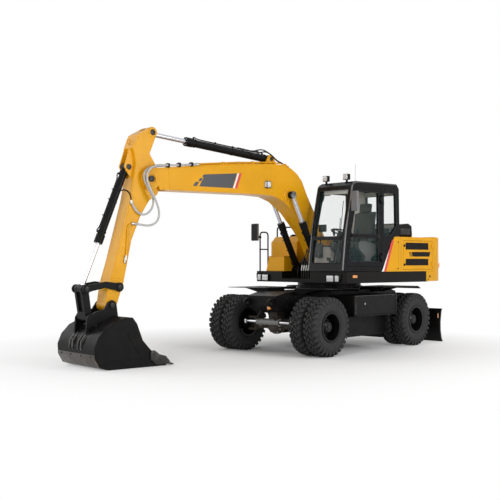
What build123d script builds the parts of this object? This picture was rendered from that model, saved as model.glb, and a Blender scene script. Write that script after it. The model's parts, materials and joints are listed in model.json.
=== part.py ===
from build123d import *
import math
import os

# Wheeled excavator in millimetres. The ground is Z = 0 and the chassis faces +X.
# Lengths along X are measured from the slew axis, and the part's origin lies
# under the middle of its outline.
SLEW_AXIS_X = -1690.0
SLEW_AT_REST = -7.65

# Clearances
SEAT = 0.3
RUNNING = 6.0
PIN_CLEARANCE = 0.4

# Wheels
TYRE_DIAMETER = 1054.0
TYRE_WIDTH = 272.0
TWIN_PITCH = 320.0
RIM_DIAMETER = 508.0
RIM_WIDTH = 200.0
RIM_WALL = 20.0
RIM_LIP = 16.0
LUG_DEPTH = 24.0
LUG_COUNT = 24
LUG_SHARE = 0.58
TREAD_HALF = 118.0
TYRE_SIDES = 22
HUB_RADIUS = 150.0
HUB_INNER = 120.0
HUB_OUTER = 130.0
COVER_RADIUS = 118.0
COVER_OUTER = 215.0
WEB_FROM = 30.0
WEB_THICK = 24.0
WHEEL_Y = 974.0
FRONT_AXLE_X = 1620.0
REAR_AXLE_X = -1230.0
AXLE_Z = TYRE_DIAMETER / 2

# Axles and steering
KINGPIN_Y = 600.0
KINGPIN_RADIUS = 34.0
AXLE_TUBE_RADIUS = 92.0
DRIVE_HOUSING_RADIUS = 185.0
HOUSING_NOSE = 322.0
YOKE_THICK = 34.0
YOKE_GAP = 190.0
YOKE_RADIUS = 78.0
HUB_CARRIER_RADIUS = 128.0
STEER_ARM_X = 250.0
STEER_ARM_Y = -45.0
STEER_ARM_THICK = 28.0
STEER_CYLINDER_RADIUS = 52.0
STEER_CYLINDER_HALF = 265.0
STEER_ROD_RADIUS = 26.0

# Chassis
FRAME_TOP = 1120.0
FRAME_BOTTOM = 770.0
FRAME_HALF = 345.0
FRAME_FRONT = 2060.0
FRAME_REAR = -1900.0
CENTRE_HALF = 600.0
CENTRE_FRONT = 760.0
CENTRE_REAR = -560.0
SLEW_RING_RADIUS = 625.0
SLEW_RING_TOP = 1270.0
SLEW_RING_SPLIT = 1200.0
FENDER_THICK = 10.0
FENDER_Z = 1190.0
FENDER_OUT = 1190.0
STEP_SIDE = 1170.0
STEP_INNER = 640.0
STEP_FRONT = 810.0
STEP_REAR = -640.0
STEP_TOP = 1050.0
STEP_SPLIT = 660.0
STEP_BOTTOM = 270.0
TOW_EYE_RADIUS = 32.0
TOW_EYE_THICK = 50.0
TOW_EYE_OUTER = 75.0
TOW_EYE_Y = FRAME_HALF - 60.0
TOW_EYE_Z = 880.0

# Blade
BLADE_PIVOT = (-1760.0, 560.0)
BLADE_PIN_RADIUS = 32.0
BLADE_ARM_Y = FRAME_HALF - 45.0
BLADE_ARM_THICK = 60.0
BLADE_HALF = 1245.0
BLADE_CYLINDER_Y = 150.0
BLADE_CYLINDER_BASE = (-1960.0, 1010.0)
BLADE_CYLINDER_EYE = (-2085.0, 470.0)

# Upper structure
DECK_BOTTOM = 1280.0
DECK_TOP = 1490.0
DECK_FLOOR = 1350.0
DECK_FRONT = 875.0
DECK_SIDE = 1245.0
TAIL_RADIUS = 2290.0
BOOM_Y = -50.0
CHANNEL_REAR = -120.0
HOOD_Z = 2160.0
PANEL = 40.0
HOUSING_FRONT = -730.0
COUNTERWEIGHT_FRONT = -1720.0
TANK_TOP = 2190.0
TOOL_BOX = (450.0, 800.0)
TOOL_BOX_TOP = 1790.0
COUNTERWEIGHT_TOP = 2175.0
FOOT_FRONT = -1490.0
FOOT_DEPTH = 120.0
TOOL_BOX_SIDE = 905.0

# Cab
CAB_INNER_Y = 345.0
CAB_OUTER_Y = 1235.0
CAB_WALL = 55.0
CAB_FLOOR = 1500.0
DOOR_GAP = 6.0
GLASS = 8.0
COLUMN_RADIUS = 40.0
DOOR_HINGE = (-140.0, 1262.0)
DOOR_HINGE_RADIUS = 14.0
DOOR_HINGE_LEVELS = (1760.0, 2860.0)
RAIL_RADIUS = 15.0

# Boom pins, X and Z in the side view of the upper structure
BOOM_FOOT = (250.0, 1800.0)
BOOM_HALF = 200.0
BOOM_PIN_RADIUS = 50.0
BOOM_CYLINDER_BASE = (520.0, 1530.0)
BOOM_CYLINDER_EYE = (1250.0, 2930.0)
BOOM_CYLINDER_Y = 300.0
BOOM_BARREL_RADIUS = 60.0
BOOM_BARREL_LENGTH = 1015.0
BOOM_ROD_RADIUS = 38.0
BOOM_ROD_LENGTH = 920.0
BASE_PIN_RADIUS = 32.0
ARM_PIVOT = (4360.0, 3050.0)
ARM_HALF = 145.0
FORK_GAP = 6.0
ARM_CYLINDER_BASE = (1600.0, 3600.0)
ARM_CYLINDER_EYE = (4300.0, 3830.0)
ARM_BARREL_RADIUS = 68.0
ARM_BARREL_LENGTH = 1930.0
ARM_ROD_RADIUS = 42.0
ARM_ROD_LENGTH = 1480.0
BUCKET_CYLINDER_BASE = (4730.0, 3230.0)
BUCKET_BARREL_RADIUS = 60.0
BUCKET_BARREL_LENGTH = 1358.0
BUCKET_ROD_RADIUS = 36.0
BUCKET_ROD_LENGTH = 1180.0
ROCKER_PIVOT = (4950.0, 1270.0)
ROCKER_TIP = (5550.0, 1250.0)
ROCKER_PLATE = 30.0
BUCKET_PIVOT = (5100.0, 980.0)
LINK_EYE = (5480.0, 800.0)
EAR_THICK = 34.0
BUCKET_HALF = 580.0
BUCKET_PLATE = 20.0
EYE_HALF = 48.0
EAR_GAP = 5.0
LUG_THICK = 20.0

# Half width of the open channel in the deck, past the outer cylinder lugs
CHANNEL_HALF = BOOM_CYLINDER_Y + BOOM_BARREL_RADIUS + RUNNING + LUG_THICK + 4

os.makedirs("parts", exist_ok=True)


# Shapes used again and again
def block(x0, x1, y0, y1, z0, z1):
    middle = ((x0 + x1) / 2, (y0 + y1) / 2, (z0 + z1) / 2)
    return Pos(*middle) * Box(x1 - x0, y1 - y0, z1 - z0)


def closed_outline(points, radius):
    if radius:
        return FilletPolyline(*points, radius=radius, close=True)
    return Polyline(*points, close=True)


def side_prism(points, y0, y1, radius=0.0):
    """A plate or body whose outline is drawn in X and Z."""
    face = Plane.XZ.offset(-y0) * make_face(closed_outline(points, radius))
    return extrude(face, y1 - y0, dir=(0, 1, 0))


def plan_prism(points, z0, z1, radius=0.0):
    """A plate or body whose outline is drawn in X and Y."""
    face = Plane.XY.offset(z0) * make_face(closed_outline(points, radius))
    return extrude(face, z1 - z0, dir=(0, 0, 1))


def front_prism(points, x0, x1, radius=0.0):
    """A plate or body whose outline is drawn in Y and Z."""
    face = Plane.YZ.offset(x0) * make_face(closed_outline(points, radius))
    return extrude(face, x1 - x0, dir=(1, 0, 0))


def bar(start, end, radius):
    """A round bar from one point to another."""
    run = Vector(*end) - Vector(*start)
    return Plane(origin=start, z_dir=run) * Pos(0, 0, run.length / 2) * Cylinder(radius, run.length)


def cross_pin(at, y0, y1, radius):
    """A round bar along Y at a point of the side view."""
    return bar((at[0], y0, at[1]), (at[0], y1, at[1]), radius)


def turned(profile):
    """A body turned about the Y axis, from a profile of radius and Y."""
    return revolve(make_face(Polyline(*profile, close=True)), Axis.Y)


def bent_tube(points, radius, bend):
    path = FilletPolyline(*points, radius=bend)
    section = Plane(origin=path @ 0, z_dir=path % 0) * Circle(radius)
    return sweep(section, path=path)


def both_sides(shape):
    return [shape, mirror(shape, about=Plane.XZ)]


def link_plate(ends, radii, y0, y1):
    """A plate with a round end at each pin."""
    (xa, za), (xb, zb) = ends
    run = math.hypot(xb - xa, zb - za)
    ux, uz = (xb - xa) / run, (zb - za) / run
    side_a, side_b = radii[0] * 0.95, radii[1] * 0.95
    body = side_prism(
        [
            (xa - uz * side_a, za + ux * side_a),
            (xb - uz * side_b, zb + ux * side_b),
            (xb + uz * side_b, zb - ux * side_b),
            (xa + uz * side_a, za - ux * side_a),
        ],
        y0,
        y1,
    )
    return body + cross_pin(ends[0], y0, y1, radii[0]) + cross_pin(ends[1], y0, y1, radii[1])


def along(start, end, distance):
    """The point at a distance from the start towards the end, in the side view."""
    run = math.hypot(end[0] - start[0], end[1] - start[1])
    share = distance / run
    return (start[0] + (end[0] - start[0]) * share, start[1] + (end[1] - start[1]) * share)


def save(name, shapes, upper=False):
    """Turn an upper piece to its rest angle, shift it to the part's frame and write it."""
    if not isinstance(shapes, list):
        shapes = [shapes]
    solids = [solid for shape in shapes for solid in shape.solids()]
    whole = solids[0] if len(solids) == 1 else Compound(children=solids)
    if upper:
        whole = Rot(0, 0, SLEW_AT_REST) * whole
    export_step(Pos(SLEW_AXIS_X, 0, 0) * whole, f"parts/{name}.step")


# Wheels: a pair of tyres on one rim drum, made about the Y axis at the origin
def wheel_ring(radius, y, angles):
    """Points round the Y axis; a lug's middle lies straight below the axle."""
    return [Vector(radius * math.sin(angle), y, -radius * math.cos(angle)) for angle in angles]


def band(ring_a, ring_b):
    """Flat faces between two rings of as many points."""
    faces = []
    for index in range(len(ring_a)):
        corners = [ring_a[index - 1], ring_a[index], ring_b[index], ring_b[index - 1]]
        faces.append(Face(Wire.make_polygon(corners, close=True)))
    return faces


def tread_outline(y):
    """Blocks with flat tops between grooves, with the tops at the tyre's radius."""
    pitch = 2 * math.pi / LUG_COUNT
    half_top = pitch * LUG_SHARE / 2
    half_foot = half_top * 1.25
    top = TYRE_DIAMETER / 2 / math.cos(half_top)
    foot = TYRE_DIAMETER / 2 - LUG_DEPTH
    points = []
    for index in range(LUG_COUNT):
        middle = index * pitch
        points += wheel_ring(foot, y, [middle - half_foot])
        points += wheel_ring(top, y, [middle - half_top, middle + half_top])
        points += wheel_ring(foot, y, [middle + half_foot])
    return points


def tyre():
    """A lugged tyre with flat-sided bead, bulging walls and a blocky tread."""
    turns = [2 * math.pi * index / TYRE_SIDES for index in range(TYRE_SIDES)]
    bead = (RIM_DIAMETER / 2 + SEAT) / math.cos(math.pi / TYRE_SIDES)
    seat = RIM_WIDTH / 2 - SEAT
    # Radius and half width of the rings, from the bead out to the tread
    profile = [
        (bead, seat),
        (bead + RIM_LIP + 4, seat),
        (bead + 130, TYRE_WIDTH / 2),
        (TYRE_DIAMETER / 2 - LUG_DEPTH - 18, TREAD_HALF),
    ]
    faces = band(wheel_ring(bead, -seat, turns), wheel_ring(bead, seat, turns))
    for side in (1, -1):
        for (near, y_near), (far, y_far) in zip(profile, profile[1:]):
            faces += band(wheel_ring(near, side * y_near, turns), wheel_ring(far, side * y_far, turns))
        shoulder = Wire.make_polygon(wheel_ring(profile[-1][0], side * TREAD_HALF, turns), close=True)
        faces.append(Face(Wire.make_polygon(tread_outline(side * TREAD_HALF), close=True), [shoulder]))
    faces += band(tread_outline(-TREAD_HALF), tread_outline(TREAD_HALF))
    return Solid(Shell(faces))


def rim():
    outer = RIM_DIAMETER / 2
    inner = outer - RIM_WALL
    end = TWIN_PITCH / 2 + RIM_WIDTH / 2 + RIM_LIP
    lip = outer + RIM_LIP
    near = TWIN_PITCH / 2 - RIM_WIDTH / 2
    drum = turned(
        [
            (inner, -end),
            (lip, -end),
            (lip, -end + RIM_LIP),
            (outer, -end + RIM_LIP),
            (outer, -near),
            (lip, -near),
            (lip, -near + RIM_LIP),
            (outer, -near + RIM_LIP),
            (outer, near - RIM_LIP),
            (lip, near - RIM_LIP),
            (lip, near),
            (outer, near),
            (outer, end - RIM_LIP),
            (lip, end - RIM_LIP),
            (lip, end),
            (inner, end),
        ]
    )
    hub = turned(
        [
            (0, -HUB_INNER),
            (HUB_RADIUS, -HUB_INNER),
            (HUB_RADIUS, WEB_FROM),
            (inner + 1, WEB_FROM),
            (inner + 1, WEB_FROM + WEB_THICK),
            (HUB_RADIUS, WEB_FROM + WEB_THICK),
            (HUB_RADIUS, HUB_OUTER),
            (COVER_RADIUS, HUB_OUTER),
            (COVER_RADIUS - 6, COVER_OUTER - 22),
            (COVER_RADIUS - 34, COVER_OUTER),
            (0, COVER_OUTER),
        ]
    )
    return drum + hub


# name, axle X, side
WHEELS = [
    ("front_left", FRONT_AXLE_X, 1),
    ("front_right", FRONT_AXLE_X, -1),
    ("rear_left", REAR_AXLE_X, 1),
    ("rear_right", REAR_AXLE_X, -1),
]


def write_wheels():
    one_tyre = tyre()
    pair = [Pos(0, offset, 0) * one_tyre for offset in (-TWIN_PITCH / 2, TWIN_PITCH / 2)]
    one_rim = rim()
    for name, x, side in WHEELS:
        turn = Rot(0, 0, 0) if side > 0 else Rot(0, 0, 180)
        place = Pos(x, side * WHEEL_Y, AXLE_Z) * turn
        save(f"tyres_{name}", [place * piece for piece in pair])
        save(f"rims_{name}", place * one_rim)


# Axles
def drive_housing(x, nose):
    """The differential housing with its nose to the gearbox side."""
    ball = Pos(x, 0, AXLE_Z) * Sphere(DRIVE_HOUSING_RADIUS)
    neck = bar((x, 0, AXLE_Z), (x + nose * HOUSING_NOSE, 0, AXLE_Z), 85)
    flange = bar((x + nose * (HOUSING_NOSE - 22), 0, AXLE_Z), (x + nose * HOUSING_NOSE, 0, AXLE_Z), 100)
    return ball + neck + flange


def front_axle():
    reach = KINGPIN_Y - YOKE_RADIUS - 20
    tube = bar((FRONT_AXLE_X, -reach, AXLE_Z), (FRONT_AXLE_X, reach, AXLE_Z), AXLE_TUBE_RADIUS)
    axle = tube + drive_housing(FRONT_AXLE_X, -1)
    for side in (1, -1):
        stem = block(
            FRONT_AXLE_X - 70,
            FRONT_AXLE_X + 70,
            min(side * (reach - 60), side * reach),
            max(side * (reach - 60), side * reach),
            AXLE_Z - YOKE_GAP / 2 - YOKE_THICK,
            AXLE_Z + YOKE_GAP / 2 + YOKE_THICK,
        )
        axle += stem
        for level in (AXLE_Z - YOKE_GAP / 2 - YOKE_THICK, AXLE_Z + YOKE_GAP / 2):
            ear = block(
                FRONT_AXLE_X - 70,
                FRONT_AXLE_X + 70,
                min(side * (reach - 10), side * KINGPIN_Y),
                max(side * (reach - 10), side * KINGPIN_Y),
                level,
                level + YOKE_THICK,
            )
            end = Pos(FRONT_AXLE_X, side * KINGPIN_Y, level + YOKE_THICK / 2)
            hole = end * Cylinder(KINGPIN_RADIUS + PIN_CLEARANCE, YOKE_THICK + 2)
            axle += ear + end * Cylinder(YOKE_RADIUS, YOKE_THICK)
            axle -= hole
    # The cradle pin above the housing, on which the axle rocks
    saddle_top = FRAME_BOTTOM - SEAT
    saddle = block(
        FRONT_AXLE_X - 110, FRONT_AXLE_X + 110, -90, 90, AXLE_Z + 120, saddle_top
    )
    return axle + saddle


def knuckle():
    """The left steering knuckle with its kingpin, steering arm and hub carrier."""
    half = YOKE_GAP / 2 - RUNNING
    core = Pos(FRONT_AXLE_X, KINGPIN_Y, AXLE_Z) * Cylinder(YOKE_RADIUS - 6, 2 * half)
    pin = Pos(FRONT_AXLE_X, KINGPIN_Y, AXLE_Z) * Cylinder(
        KINGPIN_RADIUS, YOKE_GAP + 2 * YOKE_THICK + 24
    )
    inner = WHEEL_Y - HUB_INNER - SEAT
    carrier = bar(
        (FRONT_AXLE_X, KINGPIN_Y + YOKE_RADIUS + 12, AXLE_Z),
        (FRONT_AXLE_X, inner, AXLE_Z),
        HUB_CARRIER_RADIUS,
    )
    neck = bar(
        (FRONT_AXLE_X, KINGPIN_Y, AXLE_Z),
        (FRONT_AXLE_X, KINGPIN_Y + YOKE_RADIUS + 20, AXLE_Z),
        half - 4,
    )
    tip = (FRONT_AXLE_X + STEER_ARM_X, KINGPIN_Y + STEER_ARM_Y)
    low, high = AXLE_Z - STEER_ARM_THICK / 2, AXLE_Z + STEER_ARM_THICK / 2
    arm = plan_prism(
        [
            (FRONT_AXLE_X, KINGPIN_Y - 40),
            (FRONT_AXLE_X + 120, KINGPIN_Y - 22),
            (FRONT_AXLE_X + 160, KINGPIN_Y - 50),
            (tip[0], tip[1] - 30),
            (tip[0] + 30, tip[1]),
            (tip[0], tip[1] + 34),
            (FRONT_AXLE_X, KINGPIN_Y + 70),
        ],
        low,
        high,
    )
    return core + pin + carrier + neck + arm


def steering_cylinder():
    level = steer_level()
    x = FRONT_AXLE_X + STEER_ARM_X
    half = STEER_CYLINDER_HALF
    barrel = bar((x, -half, level), (x, half, level), STEER_CYLINDER_RADIUS)
    barrel -= bar((x, -half - 5, level), (x, half + 5, level), STEER_ROD_RADIUS + PIN_CLEARANCE)
    feet = []
    for y in (-DRIVE_HOUSING_RADIUS - 40, DRIVE_HOUSING_RADIUS + 40):
        feet.append(
            block(FRONT_AXLE_X + AXLE_TUBE_RADIUS + SEAT, x - 40, y - 30, y + 30, AXLE_Z - 30, level)
        )
    return barrel, feet


def steer_level():
    return AXLE_Z + STEER_ARM_THICK / 2 + SEAT + STEER_ROD_RADIUS + 8


def steering_rod():
    level = steer_level()
    x = FRONT_AXLE_X + STEER_ARM_X
    reach = KINGPIN_Y + STEER_ARM_Y
    rod = bar((x, -reach, level), (x, reach, level), STEER_ROD_RADIUS)
    low = AXLE_Z + STEER_ARM_THICK / 2 + SEAT
    for side in (1, -1):
        rod += Pos(x, side * reach, (low + level + 34) / 2) * Cylinder(34, level + 34 - low)
    return rod


def rear_axle():
    reach = WHEEL_Y - HUB_INNER - SEAT
    axle = bar((REAR_AXLE_X, -reach, AXLE_Z), (REAR_AXLE_X, reach, AXLE_Z), AXLE_TUBE_RADIUS + 8)
    axle += drive_housing(REAR_AXLE_X, 1)
    for side in (1, -1):
        axle += bar(
            (REAR_AXLE_X, side * (reach - 150), AXLE_Z),
            (REAR_AXLE_X, side * reach, AXLE_Z),
            HUB_CARRIER_RADIUS,
        )
        axle += block(
            REAR_AXLE_X - 110,
            REAR_AXLE_X + 110,
            side * 230 - 70,
            side * 230 + 70,
            AXLE_Z,
            FRAME_BOTTOM - SEAT,
        )
    return axle


def gearbox_and_shafts():
    """The transfer gearbox under the frame with the two drive shafts."""
    level = AXLE_Z
    box = block(-300, 120, -170, 170, level - 130, FRAME_BOTTOM - SEAT)
    front_end = FRONT_AXLE_X - HOUSING_NOSE - SEAT
    rear_end = REAR_AXLE_X + HOUSING_NOSE + SEAT
    shafts = bar((100, 0, level), (front_end, 0, level), 42)
    shafts += bar((front_end - 40, 0, level), (front_end, 0, level), 88)
    shafts += bar((-280, 0, level), (rear_end, 0, level), 42)
    shafts += bar((rear_end + 40, 0, level), (rear_end, 0, level), 88)
    return box + shafts


# Chassis
def chassis_frame():
    beam = side_prism(
        [
            (FRAME_REAR, FRAME_BOTTOM + 60),
            (FRAME_REAR + 160, FRAME_BOTTOM),
            (FRAME_FRONT - 160, FRAME_BOTTOM),
            (FRAME_FRONT, FRAME_BOTTOM + 110),
            (FRAME_FRONT, FRAME_TOP - 60),
            (FRAME_FRONT - 300, FRAME_TOP),
            (FRAME_REAR + 260, FRAME_TOP),
            (FRAME_REAR, FRAME_TOP - 60),
        ],
        -FRAME_HALF,
        FRAME_HALF,
    )
    centre = plan_prism(
        [
            (CENTRE_REAR - 200, -FRAME_HALF),
            (CENTRE_REAR, -CENTRE_HALF),
            (CENTRE_FRONT, -CENTRE_HALF),
            (CENTRE_FRONT + 240, -FRAME_HALF),
            (CENTRE_FRONT + 240, FRAME_HALF),
            (CENTRE_FRONT, CENTRE_HALF),
            (CENTRE_REAR, CENTRE_HALF),
            (CENTRE_REAR - 200, FRAME_HALF),
        ],
        FRAME_BOTTOM,
        FRAME_TOP,
    )
    frame = beam + centre
    # Blade brackets under the tail, one pair of cheeks for each blade arm
    for side in (1, -1):
        for offset in (-1, 1):
            y = side * BLADE_ARM_Y + offset * (BLADE_ARM_THICK / 2 + 5 + 12)
            frame += side_prism(
                [
                    (BLADE_PIVOT[0] + 220, FRAME_BOTTOM + 20),
                    (BLADE_PIVOT[0] - 100, FRAME_BOTTOM + 60),
                    (BLADE_PIVOT[0] - 62, BLADE_PIVOT[1] - 40),
                    (BLADE_PIVOT[0] + 20, BLADE_PIVOT[1] - 62),
                    (BLADE_PIVOT[0] + 80, BLADE_PIVOT[1]),
                ],
                y - 12,
                y + 12,
            )
    for side in (1, -1):
        frame -= cross_pin(
            BLADE_PIVOT,
            side * BLADE_ARM_Y - 70,
            side * BLADE_ARM_Y + 70,
            BLADE_PIN_RADIUS + PIN_CLEARANCE,
        )
    # Ears and pins for the blade cylinders on the tail
    for side in (1, -1):
        reach = EYE_HALF + EAR_GAP + 20
        middle = side * BLADE_CYLINDER_Y
        frame += cross_pin(BLADE_CYLINDER_BASE, middle - reach, middle + reach, BASE_PIN_RADIUS)
        for offset in (-1, 1):
            y = side * BLADE_CYLINDER_Y + offset * (EYE_HALF + EAR_GAP + 10)
            frame += link_plate(
                [(FRAME_REAR + 20, BLADE_CYLINDER_BASE[1]), BLADE_CYLINDER_BASE],
                [50, 44],
                y - 10,
                y + 10,
            )
    return frame


def slew_ring():
    lower = bar((0, 0, FRAME_TOP + SEAT), (0, 0, SLEW_RING_SPLIT), SLEW_RING_RADIUS + 30)
    return lower + bar((0, 0, SLEW_RING_SPLIT), (0, 0, SLEW_RING_TOP), SLEW_RING_RADIUS)


def fenders():
    """Plates over the wheels with bent ends, posts and gussets on the frame."""
    # front X, rear X, drop at the front, drop at the rear, gusset X, post X
    table = [
        (1670.0, 640.0, 0.0, 45.0, (1500.0, 1180.0), 1250.0),
        (-60.0, -1500.0, 45.0, 45.0, (-1300.0, -900.0), -1100.0),
    ]
    ring = Pos(0, 0, FENDER_Z) * Cylinder(SLEW_RING_RADIUS + 50, 200)
    pieces = []
    for front, rear, front_drop, rear_drop, gussets, post_x in table:
        top = [
            (rear, FENDER_Z - rear_drop),
            (rear + 90, FENDER_Z),
            (front - 90, FENDER_Z),
            (front, FENDER_Z - front_drop),
        ]
        outline = top + [(x, z - FENDER_THICK) for x, z in reversed(top)]
        plate = side_prism(outline, FRAME_HALF - 60, FENDER_OUT)
        for x in gussets:
            plate += front_prism(
                [
                    (FRAME_HALF + SEAT, FENDER_Z - FENDER_THICK),
                    (FRAME_HALF + SEAT, FRAME_TOP - 60),
                    (FRAME_HALF + 60, FRAME_TOP - 60),
                    (FENDER_OUT - 280, FENDER_Z - FENDER_THICK),
                ],
                x - 6,
                x + 6,
            )
        plate += block(
            post_x - 200,
            post_x + 200,
            FRAME_HALF - 60,
            FRAME_HALF - 20,
            FRAME_TOP + SEAT,
            FENDER_Z - FENDER_THICK,
        )
        pieces += both_sides(plate - ring)
    return pieces


def step_boxes():
    """Lockers between the wheels with a step along the lower edge."""
    upper = side_prism(
        [
            (STEP_FRONT, STEP_TOP),
            (STEP_FRONT, STEP_SPLIT),
            (STEP_REAR, STEP_SPLIT),
            (STEP_REAR, STEP_TOP),
        ],
        CENTRE_HALF + SEAT,
        STEP_SIDE,
    )
    lower = side_prism(
        [
            (STEP_FRONT - 40, STEP_SPLIT),
            (STEP_FRONT - 90, STEP_BOTTOM + 40),
            (STEP_FRONT - 140, STEP_BOTTOM),
            (STEP_REAR + 140, STEP_BOTTOM),
            (STEP_REAR + 60, STEP_BOTTOM + 120),
            (STEP_REAR + 40, STEP_SPLIT),
        ],
        STEP_INNER,
        STEP_SIDE - 230,
    )
    tread = block(STEP_REAR + 30, STEP_FRONT - 30, STEP_SIDE - 20, STEP_SIDE + 30, STEP_SPLIT, STEP_SPLIT + 25)
    return both_sides(upper + lower + tread)


def tow_eyes():
    """An eye at each corner of the chassis for towing and tying down."""
    eyes = []
    for x, sign in ((FRAME_FRONT, 1), (FRAME_REAR, -1)):
        for side in (1, -1):
            centre = (x + sign * (TOW_EYE_OUTER + 12), TOW_EYE_Z + 60)
            y0 = side * TOW_EYE_Y - TOW_EYE_THICK / 2
            y1 = side * TOW_EYE_Y + TOW_EYE_THICK / 2
            plate = cross_pin(centre, y0, y1, TOW_EYE_OUTER)
            near, far = sorted((x + sign * SEAT, centre[0]))
            plate += block(near, far, y0, y1, centre[1] - TOW_EYE_OUTER, centre[1] + TOW_EYE_OUTER)
            eyes.append(plate - cross_pin(centre, y0 - 1, y1 + 1, TOW_EYE_RADIUS))
    return eyes


# Blade
def blade():
    px, pz = BLADE_PIVOT
    sheet = side_prism(
        [
            (-2255, 12),
            (-2300, 12),
            (-2252, 90),
            (-2215, 250),
            (-2212, 430),
            (-2250, 640),
            (-2276, 700),
            (-2236, 700),
            (-2190, 560),
            (-2168, 430),
            (-2170, 250),
            (-2205, 90),
        ],
        -BLADE_HALF,
        BLADE_HALF,
    )
    whole = sheet
    for side in (1, -1):
        y0 = side * BLADE_ARM_Y - BLADE_ARM_THICK / 2
        y1 = side * BLADE_ARM_Y + BLADE_ARM_THICK / 2
        arm = side_prism(
            [
                (px + 30, pz + 50),
                (px - 200, pz + 20),
                (-2190, 480),
                (-2190, 150),
                (-2140, 150),
                (px - 120, pz - 190),
                (px + 30, pz - 50),
            ],
            y0,
            y1,
        )
        arm += cross_pin(BLADE_PIVOT, y0, y1, 58)
        arm += cross_pin(BLADE_PIVOT, y0 - 32, y1 + 32, BLADE_PIN_RADIUS)
        whole += arm
        for offset in (-1, 1):
            y = side * BLADE_CYLINDER_Y + offset * (EYE_HALF + EAR_GAP + 9)
            root = (-2190, BLADE_CYLINDER_EYE[1] - 20)
            whole += link_plate([root, BLADE_CYLINDER_EYE], [90, 46], y - 9, y + 9)
    brace = bar((px - 190, -BLADE_ARM_Y, pz - 90), (px - 190, BLADE_ARM_Y, pz - 90), 52)
    return whole + brace


def cylinder_pair(base, eye, barrel_radius, barrel_length, rod_radius, rod_length):
    """A barrel and its rod in the side view, about Y = 0."""
    head = along(base, eye, barrel_length)
    start = (base[0], 0, base[1])
    gland_from = along(base, eye, barrel_length - 60)
    eye_radius = barrel_radius * 1.15
    barrel = bar(start, (head[0], 0, head[1]), barrel_radius)
    barrel += bar((gland_from[0], 0, gland_from[1]), (head[0], 0, head[1]), barrel_radius + 10)
    barrel += cross_pin(base, -barrel_radius, barrel_radius, eye_radius)
    barrel -= cross_pin(base, -barrel_radius - 5, barrel_radius + 5, BASE_PIN_RADIUS + PIN_CLEARANCE)
    total = math.hypot(eye[0] - base[0], eye[1] - base[1])
    inner = along(base, eye, eye_radius + 20)
    bore_end = along(base, eye, barrel_length + 5)
    barrel -= bar((inner[0], 0, inner[1]), (bore_end[0], 0, bore_end[1]), rod_radius + PIN_CLEARANCE)
    rod_start = along(base, eye, total - rod_length)
    rod = bar((rod_start[0], 0, rod_start[1]), (eye[0], 0, eye[1]), rod_radius)
    rod += cross_pin(eye, -EYE_HALF, EYE_HALF, rod_radius * 1.8)
    return barrel, rod


def write_chassis():
    save("chassis_frame", chassis_frame())
    save("slew_ring", slew_ring())
    save("fenders", fenders())
    save("step_boxes", step_boxes())
    save("front_axle", front_axle())
    save("rear_axle", rear_axle())
    save("gearbox_and_shafts", gearbox_and_shafts())
    save("tow_eyes", tow_eyes())
    left = knuckle()
    save("knuckle_left", left)
    save("knuckle_right", mirror(left, about=Plane.XZ))
    barrel, feet = steering_cylinder()
    save("steering_cylinder", [barrel + feet[0] + feet[1]])
    save("steering_rod", steering_rod())
    save("blade", blade())
    barrel, rod = cylinder_pair(BLADE_CYLINDER_BASE, BLADE_CYLINDER_EYE, 42, 330, 26, 300)
    for name, piece in (("blade_barrels", barrel), ("blade_rods", rod)):
        save(name, [Pos(0, side * BLADE_CYLINDER_Y, 0) * piece for side in (1, -1)])


# Upper structure
def deck_plan(inset=0.0):
    """The plan outline of the deck with a round tail."""
    side = DECK_SIDE - inset
    reach = TAIL_RADIUS - inset
    corner_x = -0.8 * TAIL_RADIUS
    half = [(DECK_FRONT - inset, side - 60), (DECK_FRONT - inset - 60, side), (corner_x, side)]
    half += [(-math.sqrt(reach**2 - y**2), y) for y in (1190.0, 1040.0, 740.0, 380.0)]
    return half + [(-reach, 0.0)] + [(x, -y) for x, y in reversed(half)]


def deck():
    plate = plan_prism(deck_plan(), DECK_BOTTOM, DECK_TOP)
    plate &= block(COUNTERWEIGHT_FRONT, DECK_FRONT, -DECK_SIDE, DECK_SIDE, DECK_BOTTOM, DECK_TOP)
    plate -= block(
        CHANNEL_REAR,
        DECK_FRONT + 10,
        BOOM_Y - CHANNEL_HALF,
        BOOM_Y + CHANNEL_HALF,
        DECK_FLOOR,
        DECK_TOP + 10,
    )
    for side in (1, -1):
        y0, y1 = sorted((side * (DECK_SIDE - FOOT_DEPTH - SEAT), side * (DECK_SIDE + 1)))
        plate -= block(COUNTERWEIGHT_FRONT, FOOT_FRONT + SEAT, y0, y1, DECK_BOTTOM - 1, DECK_TOP + 1)
    ring_seat = Pos(0, 0, (SLEW_RING_TOP + SEAT + DECK_BOTTOM) / 2) * Cylinder(
        SLEW_RING_RADIUS, DECK_BOTTOM - SLEW_RING_TOP - SEAT
    )
    return plate + ring_seat


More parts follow.
